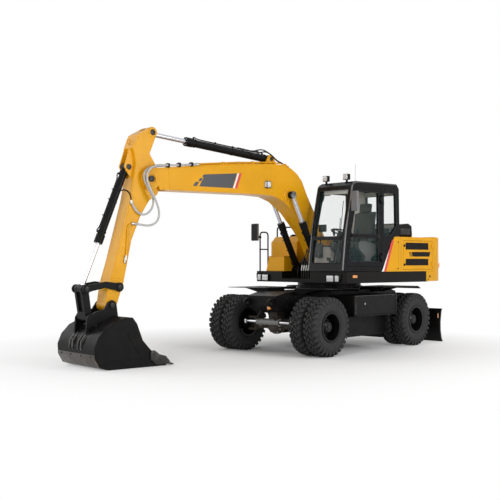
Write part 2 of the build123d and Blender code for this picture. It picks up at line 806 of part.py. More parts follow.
def boom_bracket():
    """The two cheeks that carry the boom foot and the boom cylinders."""
    fx, fz = BOOM_FOOT
    bx, bz = BOOM_CYLINDER_BASE
    base = DECK_FLOOR + SEAT
    cheek = side_prism(
        [
            (fx - 330, base),
            (fx - 330, base + 120),
            (fx - 110, fz + 60),
            (fx - 40, fz + 118),
            (fx + 50, fz + 112),
            (fx + 120, fz + 40),
            (bx + 70, bz + 40),
            (bx + 95, bz - 60),
            (bx + 95, base),
        ],
        BOOM_HALF + RUNNING,
        BOOM_HALF + RUNNING + 30,
    )
    outer = BOOM_CYLINDER_Y + BOOM_BARREL_RADIUS + RUNNING
    lug = side_prism(
        [
            (bx - 80, base),
            (bx - 80, bz + 30),
            (bx - 30, bz + 80),
            (bx + 50, bz + 70),
            (bx + 95, bz),
            (bx + 95, base),
        ],
        outer,
        outer + LUG_THICK,
    )
    foot = block(bx - 80, bx + 95, BOOM_HALF + RUNNING, outer + LUG_THICK, base, base + 24)
    side = cheek + lug + foot
    side += cross_pin(BOOM_CYLINDER_BASE, BOOM_HALF + RUNNING, outer + LUG_THICK, BASE_PIN_RADIUS)
    whole = side + mirror(side, about=Plane.XZ)
    whole += cross_pin(BOOM_FOOT, -BOOM_HALF - 60, BOOM_HALF + 60, BOOM_PIN_RADIUS)
    whole += block(fx - 330, fx - 300, -BOOM_HALF - 30, BOOM_HALF + 30, base, base + 110)
    return Pos(0, BOOM_Y, 0) * whole


# Cab outline in the side view, from the lower front round to the lower rear
CAB_SIDE = [
    (925.0, CAB_FLOOR + SEAT),
    (905.0, 1680.0),
    (830.0, 2300.0),
    (665.0, 3090.0),
    (560.0, 3168.0),
    (-590.0, 3168.0),
    (-660.0, 3080.0),
    (-680.0, 2150.0),
    (-505.0, 2150.0),
    (-170.0, CAB_FLOOR + SEAT),
]
CAB_INSIDE = [
    (840.0, CAB_FLOOR + 70),
    (830.0, 1700.0),
    (765.0, 2290.0),
    (600.0, 3060.0),
    (540.0, 3105.0),
    (-560.0, 3105.0),
    (-605.0, 3050.0),
    (-622.0, 2205.0),
    (-470.0, 2205.0),
    (-120.0, CAB_FLOOR + 70),
]
# Door outline in the side view, and its upper and lower windows
DOOR_SIDE = [
    (-134.0, 1590.0),
    (-134.0, 3050.0),
    (560.0, 3050.0),
    (745.0, 2290.0),
    (815.0, 1660.0),
    (790.0, 1590.0),
]
DOOR_WINDOWS = [
    [(-60.0, 2190.0), (-60.0, 2980.0), (515.0, 2980.0), (690.0, 2260.0), (695.0, 2190.0)],
    [(-60.0, 1680.0), (-60.0, 2120.0), (705.0, 2120.0), (750.0, 1740.0), (735.0, 1680.0)],
]
REAR_QUARTER = [(-210.0, 2170.0), (-210.0, 2985.0), (-560.0, 2985.0), (-575.0, 2350.0), (-400.0, 2170.0)]
RIGHT_WINDOW = [(-120.0, 1980.0), (-120.0, 2985.0), (545.0, 2985.0), (730.0, 2260.0), (750.0, 1980.0)]


def offset_prism(outline, distance, y0, y1):
    face = offset(make_face(Polyline(*outline, close=True)), amount=distance, kind=Kind.INTERSECTION)
    return extrude(Plane.XZ.offset(-y0) * face, y1 - y0, dir=(0, 1, 0))


def front_window():
    """The windscreen opening with its cross bar, drawn in Y and Z."""
    y0, y1 = CAB_INNER_Y + 70, CAB_OUTER_Y - 70
    return [
        [(y0, 2140.0), (y0, 3020.0), (y1, 3020.0), (y1, 2140.0)],
        [(y0, 1650.0), (y0, 2090.0), (y1, 2090.0), (y1, 1650.0)],
    ]


def rear_window():
    y0, y1 = CAB_INNER_Y + 90, CAB_OUTER_Y - 90
    return [(y0, 2420.0), (y0, 2960.0), (y1, 2960.0), (y1, 2420.0)]


def cab_shell():
    shell = side_prism(CAB_SIDE, CAB_INNER_Y, CAB_OUTER_Y)
    shell -= side_prism(CAB_INSIDE, CAB_INNER_Y + CAB_WALL, CAB_OUTER_Y - CAB_WALL)
    outer_from = CAB_OUTER_Y - CAB_WALL - 5
    shell -= offset_prism(DOOR_SIDE, DOOR_GAP, outer_from, CAB_OUTER_Y + 5)
    shell -= side_prism(REAR_QUARTER, outer_from, CAB_OUTER_Y + 5)
    shell -= side_prism(RIGHT_WINDOW, CAB_INNER_Y - 5, CAB_INNER_Y + CAB_WALL + 5)
    for outline in front_window():
        shell -= front_prism(outline, 500, 960)
    shell -= front_prism(rear_window(), -720, -500)
    # The fixed knuckles above and below each door knuckle
    for z in DOOR_HINGE_LEVELS:
        for offset in (-60 - SEAT, 60 + SEAT):
            level = z + offset
            leaf = (DOOR_HINGE[0] - 50, DOOR_HINGE[0])
            shell += block(*leaf, CAB_OUTER_Y - 4, DOOR_HINGE[1] + 6, level - 20, level + 20)
            shell += Pos(DOOR_HINGE[0], DOOR_HINGE[1], level) * Cylinder(DOOR_HINGE_RADIUS, 40)
    return shell


def cab_glass():
    """Panes seated in the middle of the walls."""
    panes = [
        offset_prism(REAR_QUARTER, -SEAT, CAB_OUTER_Y - 36, CAB_OUTER_Y - 36 + GLASS),
        offset_prism(RIGHT_WINDOW, -SEAT, CAB_INNER_Y + 28, CAB_INNER_Y + 28 + GLASS),
    ]
    # Panes that follow the sloping front and the rear wall, cut to their openings
    pane = [(888.0, 1600.0), (868.0, 1700.0), (796.0, 2295.0), (630.0, 3070.0)]
    front = side_prism(
        pane + [(x - GLASS, z) for x, z in reversed(pane)],
        CAB_INNER_Y,
        CAB_OUTER_Y,
    )
    for outline in front_window():
        y0, z0 = outline[0]
        y1, z1 = outline[2]
        panes.append(front & block(500, 960, y0 + SEAT, y1 - SEAT, z0 + SEAT, z1 - SEAT))
    y0, z0 = rear_window()[0]
    y1, z1 = rear_window()[2]
    panes.append(block(-650, -642, y0 + SEAT, y1 - SEAT, z0 + SEAT, z1 - SEAT))
    return panes


def door():
    y0, y1 = CAB_OUTER_Y - CAB_WALL, CAB_OUTER_Y
    slab = side_prism(DOOR_SIDE, y0, y1)
    for window in DOOR_WINDOWS:
        slab -= side_prism(window, y0 - 5, y1 + 5)
    for z in DOOR_HINGE_LEVELS:
        slab += block(DOOR_HINGE[0] + 8, DOOR_HINGE[0] + 58, y1 - 4, DOOR_HINGE[1] + 8, z - 40, z + 40)
        slab += Pos(DOOR_HINGE[0], DOOR_HINGE[1], z) * Cylinder(DOOR_HINGE_RADIUS, 80)
    slab += block(640, 700, y1, y1 + 34, 2140, 2170)
    return slab


def door_glass():
    panes = []
    for window in DOOR_WINDOWS:
        panes.append(offset_prism(window, -SEAT, CAB_OUTER_Y - 34, CAB_OUTER_Y - 34 + GLASS))
    return panes


def cab_interior():
    """The seat with its base, two consoles and the steering column."""
    middle = (CAB_INNER_Y + CAB_OUTER_Y) / 2
    floor = CAB_FLOOR + 70 + SEAT
    base = block(-60, 330, middle - 170, middle + 170, floor, floor + 300)
    cushion = side_prism(
        [
            (-100, floor + 300),
            (400, floor + 300),
            (420, floor + 380),
            (380, floor + 420),
            (-60, floor + 400),
            (-100, floor + 420),
        ],
        middle - 250,
        middle + 250,
    )
    back = side_prism(
        [
            (-110, floor + 400),
            (20, floor + 400),
            (-60, floor + 1020),
            (-130, floor + 1060),
            (-200, floor + 1020),
        ],
        middle - 235,
        middle + 235,
    )
    head = block(-215, -95, middle - 140, middle + 140, floor + 1030, floor + 1220)
    seat = base + cushion + back + head
    for side in (1, -1):
        y = middle + side * 320
        seat += side_prism(
            [
                (-60, floor),
                (60, floor),
                (60, floor + 420),
                (330, floor + 520),
                (330, floor + 600),
                (-60, floor + 500),
            ],
            y - 55,
            y + 55,
        )
        near, far = sorted((middle + side * 160, y))
        seat += block(-40, 60, near, far, floor + 120, floor + 180)
    column = bar((640, middle, floor + COLUMN_RADIUS * 0.183), (530, middle, floor + 600), COLUMN_RADIUS)
    tilt = Plane(origin=(518, middle, floor + 640), z_dir=(-0.3, 0, 1))
    column += bar((530, middle, floor + 590), (516, middle, floor + 650), 60)
    column += tilt * Torus(170, 15)
    column += tilt * Box(24, 350, 18)
    return [seat, column]


def engine_housing():
    """Side walls, bulkhead and roof round the engine, open at the service doors."""
    wall_front = [(-170.0 - 8, DECK_TOP + SEAT), (-513.0, 2150.0), (-540.0, HOOD_Z)]
    left = side_prism(
        wall_front + [(COUNTERWEIGHT_FRONT + 4, HOOD_Z), (COUNTERWEIGHT_FRONT + 4, DECK_TOP + SEAT)],
        DECK_SIDE - PANEL,
        DECK_SIDE,
    )
    left -= offset_prism(SERVICE_DOOR, DOOR_GAP, DECK_SIDE - PANEL - 5, DECK_SIDE + 5)
    # The cab's lower rear corner stands inside the corner panel
    left -= block(-700, -100, DECK_SIDE - PANEL - 5, CAB_OUTER_Y + SEAT, DECK_TOP - 10, 3000)
    right = side_prism(
        [
            (HOUSING_FRONT, DECK_TOP + SEAT),
            (HOUSING_FRONT, HOOD_Z),
            (COUNTERWEIGHT_FRONT + 4, HOOD_Z),
            (COUNTERWEIGHT_FRONT + 4, DECK_TOP + SEAT),
        ],
        -DECK_SIDE,
        -DECK_SIDE + PANEL,
    )
    right -= offset_prism(SERVICE_DOOR, DOOR_GAP, -DECK_SIDE - 5, -DECK_SIDE + PANEL + 5)
    inner = DECK_SIDE - PANEL
    bulkhead = block(HOUSING_FRONT - 30, HOUSING_FRONT, -inner, inner, DECK_TOP + SEAT, HOOD_Z)
    roof = block(COUNTERWEIGHT_FRONT + 4, HOUSING_FRONT, -DECK_SIDE, DECK_SIDE, HOOD_Z - 30, HOOD_Z)
    half = HOOD_HALF + DOOR_GAP
    roof -= block(HOOD_REAR - 2 * DOOR_GAP, HOOD_FRONT + DOOR_GAP, -half, half, HOOD_Z - 40, HOOD_Z + 10)
    # Fixed knuckles of the side doors and the hood
    whole = left + right + bulkhead + roof
    for z in SERVICE_HINGE_LEVELS:
        for level in (z - 50 - SEAT, z + 50 + SEAT):
            leaf = (SERVICE_HINGE_X - 26, SERVICE_HINGE_X - 4)
            knuckle = block(*leaf, DECK_SIDE - 4, DECK_SIDE + 16, level - 15, level + 15)
            knuckle += Pos(SERVICE_HINGE_X, DECK_SIDE + 10, level) * Cylinder(9, 30)
            whole += knuckle + mirror(knuckle, about=Plane.XZ)
    for side in (1, -1):
        for offset in (-1, 1):
            y = side * HOOD_HINGE_Y + offset * (30 + SEAT + 5)
            leaf = (HOOD_HINGE[0] - 12, HOOD_HINGE[0] + 8)
            whole += block(*leaf, y - 5, y + 5, HOOD_Z - 4, HOOD_HINGE[1] + 12)
    return whole


SERVICE_HINGE_X = -1684.0
SERVICE_HINGE_LEVELS = (1620.0, 1990.0)
SERVICE_DOOR = [(-780.0, 1530.0), (-780.0, 2085.0), (-1680.0, 2085.0), (-1680.0, 1530.0)]
LOUVRE_SPAN = (-1550.0, -850.0)
LOUVRE_LEVELS = [(1605.0, 1735.0), (1915.0, 2050.0)]
LOUVRE_DEPTH = 16.0
LOUVRE_SLATS = 5
HOOD_FRONT = -1190.0
HOOD_REAR = -1690.0
HOOD_HALF = 760.0
HOOD_HEIGHT = 60.0
HOOD_HINGE = (-1704.0, 2190.0)
HOOD_HINGE_Y = 500.0


def louvre(x0, x1, z0, z1, face_y):
    """The recess of a louvre in a left-hand panel, and its slanting slats."""
    recess = block(x0, x1, face_y - LOUVRE_DEPTH, face_y + 1, z0, z1)
    pitch = (z1 - z0) / LOUVRE_SLATS
    slats = []
    for index in range(LOUVRE_SLATS):
        z = z0 + (index + 0.25) * pitch
        slats.append(
            front_prism(
                [
                    (face_y - LOUVRE_DEPTH - 2, z + 0.5 * pitch),
                    (face_y - 2, z),
                    (face_y - 2, z + 5),
                    (face_y - LOUVRE_DEPTH - 2, z + 0.5 * pitch + 5),
                ],
                x0 - 2,
                x1 + 2,
            )
        )
    return recess, slats


def service_door(side):
    """A side door hinged along its rear edge, with two louvres."""
    y0, y1 = DECK_SIDE - PANEL, DECK_SIDE
    slab = side_prism(SERVICE_DOOR, y0, y1)
    for z0, z1 in LOUVRE_LEVELS:
        recess, slats = louvre(*LOUVRE_SPAN, z0, z1, y1)
        slab -= recess
        for slat in slats:
            slab += slat
    for z in SERVICE_HINGE_LEVELS:
        slab += block(SERVICE_HINGE_X + 4, SERVICE_HINGE_X + 44, y1 - 4, y1 + 16, z - 35, z + 35)
        slab += Pos(SERVICE_HINGE_X, y1 + 10, z) * Cylinder(9, 70)
    return slab if side > 0 else mirror(slab, about=Plane.XZ)


def hood():
    """The lid over the engine, hinged along its rear edge."""
    lid = side_prism(
        [
            (HOOD_FRONT, HOOD_Z - 30),
            (HOOD_FRONT, HOOD_Z + HOOD_HEIGHT - 20),
            (HOOD_FRONT - 40, HOOD_Z + HOOD_HEIGHT),
            (HOOD_REAR + 60, HOOD_Z + HOOD_HEIGHT - 10),
            (HOOD_REAR, HOOD_Z + 10),
            (HOOD_REAR, HOOD_Z - 30),
        ],
        -HOOD_HALF,
        HOOD_HALF,
    )
    wall = 40
    half = HOOD_HALF - wall
    lid -= block(HOOD_REAR + wall, HOOD_FRONT - wall, -half, half, HOOD_Z - wall, HOOD_Z + 20)
    hx, hz = HOOD_HINGE
    for side in (1, -1):
        y0, y1 = side * HOOD_HINGE_Y - 30, side * HOOD_HINGE_Y + 30
        lid += side_prism([(hx, hz - 9), (hx, hz + 9), (hx + 64, hz + 15), (hx + 64, hz)], y0, y1)
        lid += cross_pin(HOOD_HINGE, y0, y1, 10)
    return lid


def raised_hood():
    """The dark raised cover behind the cab, over the coolers and air cleaner."""
    body = side_prism(
        [(-760, HOOD_Z + SEAT), (-760, 2400), (-1060, 2430), (-1160, 2380), (-1182, HOOD_Z + SEAT)],
        -180,
        1140,
    )
    return fillet(body.edges().filter_by(Axis.X, reverse=False).filter_by(lambda e: e.length > 300), 60)


def counterweight():
    """The cast weight with its round tail and rounded upper edge."""
    outline = deck_plan()
    body = plan_prism(outline, DECK_BOTTOM + 10, COUNTERWEIGHT_TOP)
    body &= block(COUNTERWEIGHT_FRONT - 900, COUNTERWEIGHT_FRONT - SEAT, -1400, 1400, 1000, 3000)
    slope = side_prism(
        [
            (-2300, 1880),
            (-2300, 2300),
            (-1780, 2300),
            (-1780, COUNTERWEIGHT_TOP),
            (-2060, COUNTERWEIGHT_TOP - 30),
        ],
        -1400,
        1400,
    )
    body -= slope
    # Cast feet that reach forward under the side doors
    foot = side_prism(
        [
            (COUNTERWEIGHT_FRONT - 60, DECK_BOTTOM + 10),
            (FOOT_FRONT - 20, DECK_BOTTOM + 10),
            (FOOT_FRONT, DECK_BOTTOM + 30),
            (FOOT_FRONT, DECK_TOP),
            (COUNTERWEIGHT_FRONT - 60, DECK_TOP),
        ],
        DECK_SIDE - FOOT_DEPTH,
        DECK_SIDE,
    )
    return body + foot + mirror(foot, about=Plane.XZ)


def engine_block():
    return block(-1560, -980, -380, 520, DECK_TOP + SEAT, 2020)


def tool_box():
    """The box ahead of the tank, under a lid that serves as a step."""
    y0, y1 = -TOOL_BOX_SIDE, BOOM_Y - CHANNEL_HALF - 20
    section = [
        (y0 - 80, DECK_TOP + SEAT),
        (y0, TOOL_BOX_TOP - 10),
        (y1, TOOL_BOX_TOP - 10),
        (y1, DECK_TOP + SEAT),
    ]
    box = front_prism(section, *TOOL_BOX)
    return box + block(TOOL_BOX[0], TOOL_BOX[1] + 12, y0 - 12, y1, TOOL_BOX_TOP - 10, TOOL_BOX_TOP)


def tanks():
    """The fuel tank and the taller oil tank on the right side."""
    inner = BOOM_Y - CHANNEL_HALF - 20
    fuel = side_prism(
        [
            (-60, DECK_TOP + SEAT),
            (-60, TANK_TOP - 50),
            (-10, TANK_TOP),
            (330, TANK_TOP),
            (445, TANK_TOP - 115),
            (445, DECK_TOP + SEAT),
        ],
        -DECK_SIDE + 10,
        inner,
    )
    oil = block(-695, -66, -DECK_SIDE + 10, inner, DECK_TOP + SEAT, TANK_TOP)
    return [fuel, oil]


def handrails():
    """Tube rails on the right side, by the door and on the tanks."""
    y = -DECK_SIDE + 45
    front = bent_tube(
        [
            (775, y, DECK_TOP + SEAT),
            (775, y, 2280),
            (560, y, 2280),
            (560, y, DECK_TOP + SEAT),
        ],
        RAIL_RADIUS,
        70,
    )
    front += bar((775, y, 1930), (560, y, 1930), 13)
    top = bent_tube(
        [
            (300, y, TANK_TOP + SEAT),
            (300, y, 2400),
            (-560, y, 2400),
            (-560, y, TANK_TOP + SEAT),
        ],
        RAIL_RADIUS,
        70,
    )
    return [front, top]


def mirrors():
    """Mirrors on stalks at the front corners."""
    rail_y = -DECK_SIDE + 45
    right = bar((797, rail_y, 2184), (925, rail_y, 2230), 11)
    clamp = Cylinder(RAIL_RADIUS + 10, 50) - Cylinder(RAIL_RADIUS + SEAT, 60)
    right += Pos(775, rail_y, 2180) * clamp
    right += block(905, 945, rail_y - 80, rail_y + 100, 2110, 2440)
    left = bar((686, CAB_OUTER_Y + SEAT + 8.1, 2760), (760, 1330, 2820), 11)
    left += block(738, 778, 1322, 1450, 2620, 2960)
    return [right, left]


def lamps():
    """Work lamps on the cab roof and at the deck's front corners."""
    # X, Y, Z of the lamp's foot
    table = [
        (525.0, 440.0, 3168.0 + SEAT),
        (525.0, 970.0, 3168.0 + SEAT),
    ]
    pieces = []
    for x, y, z in table:
        foot = block(x - 20, x + 20, y - 12, y + 12, z, z + 45)
        pieces.append(foot + block(x - 30, x + 42, y - 62, y + 62, z + 40, z + 150))
    for side in (1, -1):
        y = side * 1100
        pieces.append(block(DECK_FRONT + SEAT, DECK_FRONT + 32, y - 62, y + 62, 1350, 1450))
    return pieces


def write_upper():
    save("deck", deck(), upper=True)
    save("boom_bracket", boom_bracket(), upper=True)
    save("cab_shell", cab_shell(), upper=True)
    save("cab_glass", cab_glass(), upper=True)
    save("door", door(), upper=True)
    save("door_glass", door_glass(), upper=True)
    save("cab_interior", cab_interior(), upper=True)
    save("engine_housing", engine_housing(), upper=True)
    save("service_door_left", service_door(1), upper=True)
    save("service_door_right", service_door(-1), upper=True)
    save("hood", hood(), upper=True)
    save("raised_hood", raised_hood(), upper=True)
    save("counterweight", counterweight(), upper=True)
    save("engine_block", engine_block(), upper=True)
    save("tool_box", tool_box(), upper=True)
    save("tanks", tanks(), upper=True)
    save("handrails", handrails(), upper=True)
    save("mirrors", mirrors(), upper=True)
    save("lamps", lamps(), upper=True)


# Working arm, drawn about its own middle plane and shifted to the boom's plane
BOOM_OUTLINE = [
    (395.0, 1730.0),
    (560.0, 2050.0),
    (750.0, 2280.0),
    (1080.0, 2610.0),
    (1400.0, 2820.0),
    (1650.0, 2900.0),
    (2060.0, 2912.0),
    (4180.0, 2880.0),
    (4340.0, 3228.0),
    (3500.0, 3328.0),
    (2480.0, 3436.0),
    (1720.0, 3492.0),
    (1370.0, 3495.0),
    (1180.0, 3440.0),
    (1030.0, 3350.0),
    (900.0, 3220.0),
    (760.0, 2950.0),
    (100.0, 1860.0),
    (180.0, 1680.0),
]


# The upper plate's corners, from the arm's end back to the knee
BOOM_TOP = BOOM_OUTLINE[8:14]
PIPE_Y = 150.0
PIPE_RADIUS = 13.0
PIPE_RISE = 30.0
PIPE_CLAMPS = (1290.0, 1560.0, 2100.0, 2800.0, 3380.0)


def boom():
    body = side_prism(BOOM_OUTLINE, -BOOM_HALF, BOOM_HALF)
    body += cross_pin(BOOM_FOOT, -BOOM_HALF, BOOM_HALF, 165)
    body += cross_pin(ARM_PIVOT, -BOOM_HALF, BOOM_HALF, 180)
    slot = ARM_HALF + FORK_GAP
    px, pz = ARM_PIVOT
    body -= block(px - 370, px + 340, -slot, slot, pz - 350, pz + 350)
    body -= cross_pin(BOOM_FOOT, -BOOM_HALF - 5, BOOM_HALF + 5, BOOM_PIN_RADIUS + PIN_CLEARANCE)
    body += cross_pin(ARM_PIVOT, -BOOM_HALF - 18, BOOM_HALF + 18, BOOM_PIN_RADIUS)
    ex, ez = ARM_CYLINDER_BASE
    for side in (1, -1):
        y = side * (ARM_BARREL_RADIUS + EAR_GAP + 14)
        body += side_prism(
            [(ex - 130, 3470), (ex - 60, ez + 60), (ex, ez + 84), (ex + 60, ez + 60), (ex + 170, 3460)],
            y - 14,
            y + 14,
        )
    reach = ARM_BARREL_RADIUS + EAR_GAP + 28
    body += cross_pin(ARM_CYLINDER_BASE, -reach, reach, BASE_PIN_RADIUS)
    for side in (1, -1):
        y0, y1 = sorted((side * BOOM_HALF, side * (BOOM_CYLINDER_Y - EYE_HALF - EAR_GAP)))
        body += cross_pin(BOOM_CYLINDER_EYE, y0, y1, 92)
    return body


ARM_OUTLINE = [
    (4215.0, 3860.0),
    (4252.0, 3720.0),
    (4356.0, 3470.0),
    (4215.0, 3260.0),
    (4130.0, 3050.0),
    (4200.0, 2800.0),
    (4365.0, 2690.0),
    (4535.0, 2430.0),
    (4710.0, 2030.0),
    (4862.0, 1330.0),
    (5010.0, 920.0),
    (5190.0, 960.0),
    (5140.0, 1300.0),
    (5010.0, 1710.0),
    (4740.0, 2680.0),
    (4625.0, 3300.0),
    (4640.0, 3400.0),
    (4680.0, 3550.0),
    (4588.0, 3772.0),
    (4385.0, 3885.0),
]


def arm():
    body = side_prism(ARM_OUTLINE, -ARM_HALF, ARM_HALF)
    body += cross_pin(ARM_CYLINDER_EYE, -ARM_HALF, ARM_HALF, 92)
    body += cross_pin(BUCKET_PIVOT, -ARM_HALF, ARM_HALF, 92)
    body += cross_pin(ROCKER_PIVOT, -ARM_HALF, ARM_HALF, 84)
    inner = EYE_HALF + 6
    body -= cross_pin(ARM_CYLINDER_EYE, -inner, inner, 150)
    body -= cross_pin(ARM_PIVOT, -ARM_HALF - 5, ARM_HALF + 5, BOOM_PIN_RADIUS + PIN_CLEARANCE)
    body -= cross_pin(BUCKET_PIVOT, -ARM_HALF - 5, ARM_HALF + 5, 40 + PIN_CLEARANCE)
    body -= cross_pin(ROCKER_PIVOT, -ARM_HALF - 5, ARM_HALF + 5, 36 + PIN_CLEARANCE)
    bx, bz = BUCKET_CYLINDER_BASE
    for side in (1, -1):
        y = side * (BUCKET_BARREL_RADIUS + EAR_GAP + 13)
        body += side_prism(
            [
                (bx - 110, bz + 330),
                (bx - 25, bz + 310),
                (bx + 48, bz + 90),
                (bx + 78, bz + 10),
                (bx + 40, bz - 70),
                (bx - 60, bz - 190),
                (bx - 160, bz - 60),
            ],
            y - 13,
            y + 13,
        )
    reach = BUCKET_BARREL_RADIUS + EAR_GAP + 26
    body += cross_pin(BUCKET_CYLINDER_BASE, -reach, reach, BASE_PIN_RADIUS)
    return body


def rocker():
    """Two curved plates from the arm's sides to the cylinder eye."""
    kx, kz = ROCKER_PIVOT
    tx, tz = ROCKER_TIP
    y0 = ARM_HALF + RUNNING
    plate = side_prism(
        [
            (kx, kz + 62),
            (kx + 260, kz + 92),
            (tx - 120, tz + 78),
            (tx, tz + 58),
            (tx, tz - 58),
            (tx - 120, tz - 30),
            (kx + 270, kz - 8),
            (kx, kz - 62),
        ],
        y0,
        y0 + ROCKER_PLATE,
    )
    plate += cross_pin(ROCKER_PIVOT, y0, y0 + ROCKER_PLATE, 74)
    plate += cross_pin(ROCKER_TIP, y0, y0 + ROCKER_PLATE, 70)
    plate += cross_pin(ROCKER_TIP, LINK_INNER - 4, y0 + ROCKER_PLATE, 34)
    both = plate + mirror(plate, about=Plane.XZ)
    both += cross_pin(ROCKER_PIVOT, -y0 - ROCKER_PLATE, y0 + ROCKER_PLATE, 36)
    return both


LINK_INNER = EYE_HALF + 12
LINK_HALF = 118.0


def link():
    """The forked link from the rocker tip down to the bucket's ears."""
    reach = math.hypot(LINK_EYE[0] - ROCKER_TIP[0], LINK_EYE[1] - ROCKER_TIP[1])
    body = link_plate([ROCKER_TIP, LINK_EYE], [66, 62], -LINK_HALF, LINK_HALF)
    body += cross_pin(LINK_EYE, -ARM_HALF, ARM_HALF, 62)
    hollow_end = along(ROCKER_TIP, LINK_EYE, reach - 215)
    hollow_start = along(ROCKER_TIP, LINK_EYE, -170)
    body -= link_plate([hollow_start, hollow_end], [130, 130], -LINK_INNER, LINK_INNER)
    body -= cross_pin(ROCKER_TIP, -LINK_HALF - 5, LINK_HALF + 5, 34 + PIN_CLEARANCE)
    return body


# Bucket outline in the side view: the outer shell from the lip round to the upper edge
BUCKET_SHELL = [
    (4330.0, 6.0),
    (5400.0, 6.0),
    (5560.0, 60.0),
    (5640.0, 200.0),
    (5650.0, 360.0),
    (5580.0, 520.0),
    (5440.0, 660.0),
    (5080.0, 815.0),
]
BUCKET_MOUTH = [
    (4960.0, 800.0),
    (4880.0, 700.0),
    (4840.0, 600.0),
    (4770.0, 430.0),
    (4620.0, 270.0),
    (4470.0, 160.0),
    (4300.0, 60.0),
]


def bucket():
    """The shell with open mouth, its two ears and the pin through the arm's end."""
    outline = make_face(Polyline(*BUCKET_SHELL, *BUCKET_MOUTH, close=True))
    half = BUCKET_HALF - BUCKET_PLATE
    inside = Plane.XZ.offset(half) * offset(outline, amount=-BUCKET_PLATE)
    room = extrude(inside, 2 * half, dir=(0, 1, 0))
    # The mouth lies between the upper edge and the lip
    lip_x, lip_z = BUCKET_SHELL[0]
    inner_edge = [(x + 1.8 * BUCKET_PLATE, z) for x, z in BUCKET_MOUTH[1:-1]]
    top_z = BUCKET_MOUTH[0][1] - BUCKET_PLATE
    mouth = side_prism(
        [
            (lip_x - 200, top_z),
            (BUCKET_MOUTH[0][0] + 1.8 * BUCKET_PLATE, top_z),
            *inner_edge,
            (lip_x + 60, lip_z + BUCKET_PLATE),
            (lip_x - 200, lip_z + BUCKET_PLATE),
        ],
        -half,
        half,
    )
    body = side_prism(BUCKET_SHELL + BUCKET_MOUTH, -BUCKET_HALF, BUCKET_HALF)
    body -= mouth
    px, pz = BUCKET_PIVOT
    ex, ez = LINK_EYE
    ear_inner = ARM_HALF + RUNNING + 9
    ear = side_prism(
        [
            (px - 84, pz),
            (px - 60, pz + 62),
            (px, pz + 86),
            (px + 70, pz + 50),
            (px + 150, pz - 60),
            (px + 290, pz - 90),
            (ex - 30, ez + 62),
            (ex + 30, ez + 62),
            (ex + 72, ez),
            (ex + 90, ez - 220),
            (ex + 100, ez - 330),
            (px + 300, pz - 290),
            (px - 20, pz - 180),
            (px - 110, pz - 180),
        ],
        ear_inner,
        ear_inner + EAR_THICK,
    )
    body += ear + mirror(ear, about=Plane.XZ)
    body -= room
    pin_end = ear_inner + EAR_THICK + 14
    return body + cross_pin(BUCKET_PIVOT, -pin_end, pin_end, 40)


TOOTH_COUNT = 5
TOOTH_WIDTH = 74.0


def bucket_teeth():
    """Forged teeth that stand on the lip plate."""
    lip_x, lip_z = BUCKET_SHELL[0]
    seat = lip_z + BUCKET_PLATE + SEAT
    outline = [
        (lip_x + 150, seat),
        (lip_x - 18, seat),
        (lip_x - 170, lip_z - 2),
        (lip_x - 180, lip_z + 10),
        (lip_x - 40, lip_z + 72),
        (lip_x + 90, lip_z + 86),
        (lip_x + 150, lip_z + 54),
    ]
    teeth = []
    pitch = (2 * BUCKET_HALF - 120) / (TOOTH_COUNT - 1)
    for index in range(TOOTH_COUNT):
        y = -BUCKET_HALF + 60 + index * pitch
        teeth.append(side_prism(outline, y - TOOTH_WIDTH / 2, y + TOOTH_WIDTH / 2))
    return teeth


def boom_top(x):
    """The level of the boom's upper plate, which is straight between its corners."""
    for (x1, z1), (x0, z0) in zip(BOOM_TOP, BOOM_TOP[1:]):
        if x0 <= x <= x1:
            return z0 + (z1 - z0) * (x - x0) / (x1 - x0)


def boom_pipes():
    """Two pressure pipes along the boom's upper plate, each on its clamps."""
    levels = [(x, boom_top(x) + PIPE_RISE) for x in (1200, 1370, 1720, 2480, 3420)]
    pipes = []
    for y in (-PIPE_Y, PIPE_Y):
        pipe = bent_tube([(x, y, z) for x, z in levels], PIPE_RADIUS, 200)
        for x in PIPE_CLAMPS:
            near, far = x - 22, x + 22
            pipe += side_prism(
                [
                    (near, boom_top(near) + SEAT),
                    (far, boom_top(far) + SEAT),
                    (far, boom_top(far) + PIPE_RISE + PIPE_RADIUS + 6),
                    (near, boom_top(near) + PIPE_RISE + PIPE_RADIUS + 6),
                ],
                y - PIPE_RADIUS - 8,
                y + PIPE_RADIUS + 8,
            )
        pipes.append(pipe)
    return pipes


def write_arm():
    def put(name, shapes):
        if not isinstance(shapes, list):
            shapes = [shapes]
        save(name, [Pos(0, BOOM_Y, 0) * shape for shape in shapes], upper=True)

    put("boom", boom())
    put("boom_pipes", boom_pipes())
    put("arm", arm())
    put("rocker", rocker())
    put("link", link())
    put("bucket", bucket())
    put("bucket_teeth", bucket_teeth())
    barrel, rod = cylinder_pair(
        BOOM_CYLINDER_BASE,
        BOOM_CYLINDER_EYE,
        BOOM_BARREL_RADIUS,
        BOOM_BARREL_LENGTH,
        BOOM_ROD_RADIUS,
        BOOM_ROD_LENGTH,
    )
    put("boom_barrels", [Pos(0, side * BOOM_CYLINDER_Y, 0) * barrel for side in (1, -1)])
    put("boom_rods", [Pos(0, side * BOOM_CYLINDER_Y, 0) * rod for side in (1, -1)])
    barrel, rod = cylinder_pair(
        ARM_CYLINDER_BASE,
        ARM_CYLINDER_EYE,
        ARM_BARREL_RADIUS,
        ARM_BARREL_LENGTH,
        ARM_ROD_RADIUS,
        ARM_ROD_LENGTH,
    )
    put("arm_barrel", barrel)
    put("arm_rod", rod)
    barrel, rod = cylinder_pair(
        BUCKET_CYLINDER_BASE,
        ROCKER_TIP,
        BUCKET_BARREL_RADIUS,
        BUCKET_BARREL_LENGTH,
        BUCKET_ROD_RADIUS,
        BUCKET_ROD_LENGTH,
    )
    put("bucket_barrel", barrel)
    put("bucket_rod", rod)


write_wheels()
write_chassis()
write_upper()
write_arm()
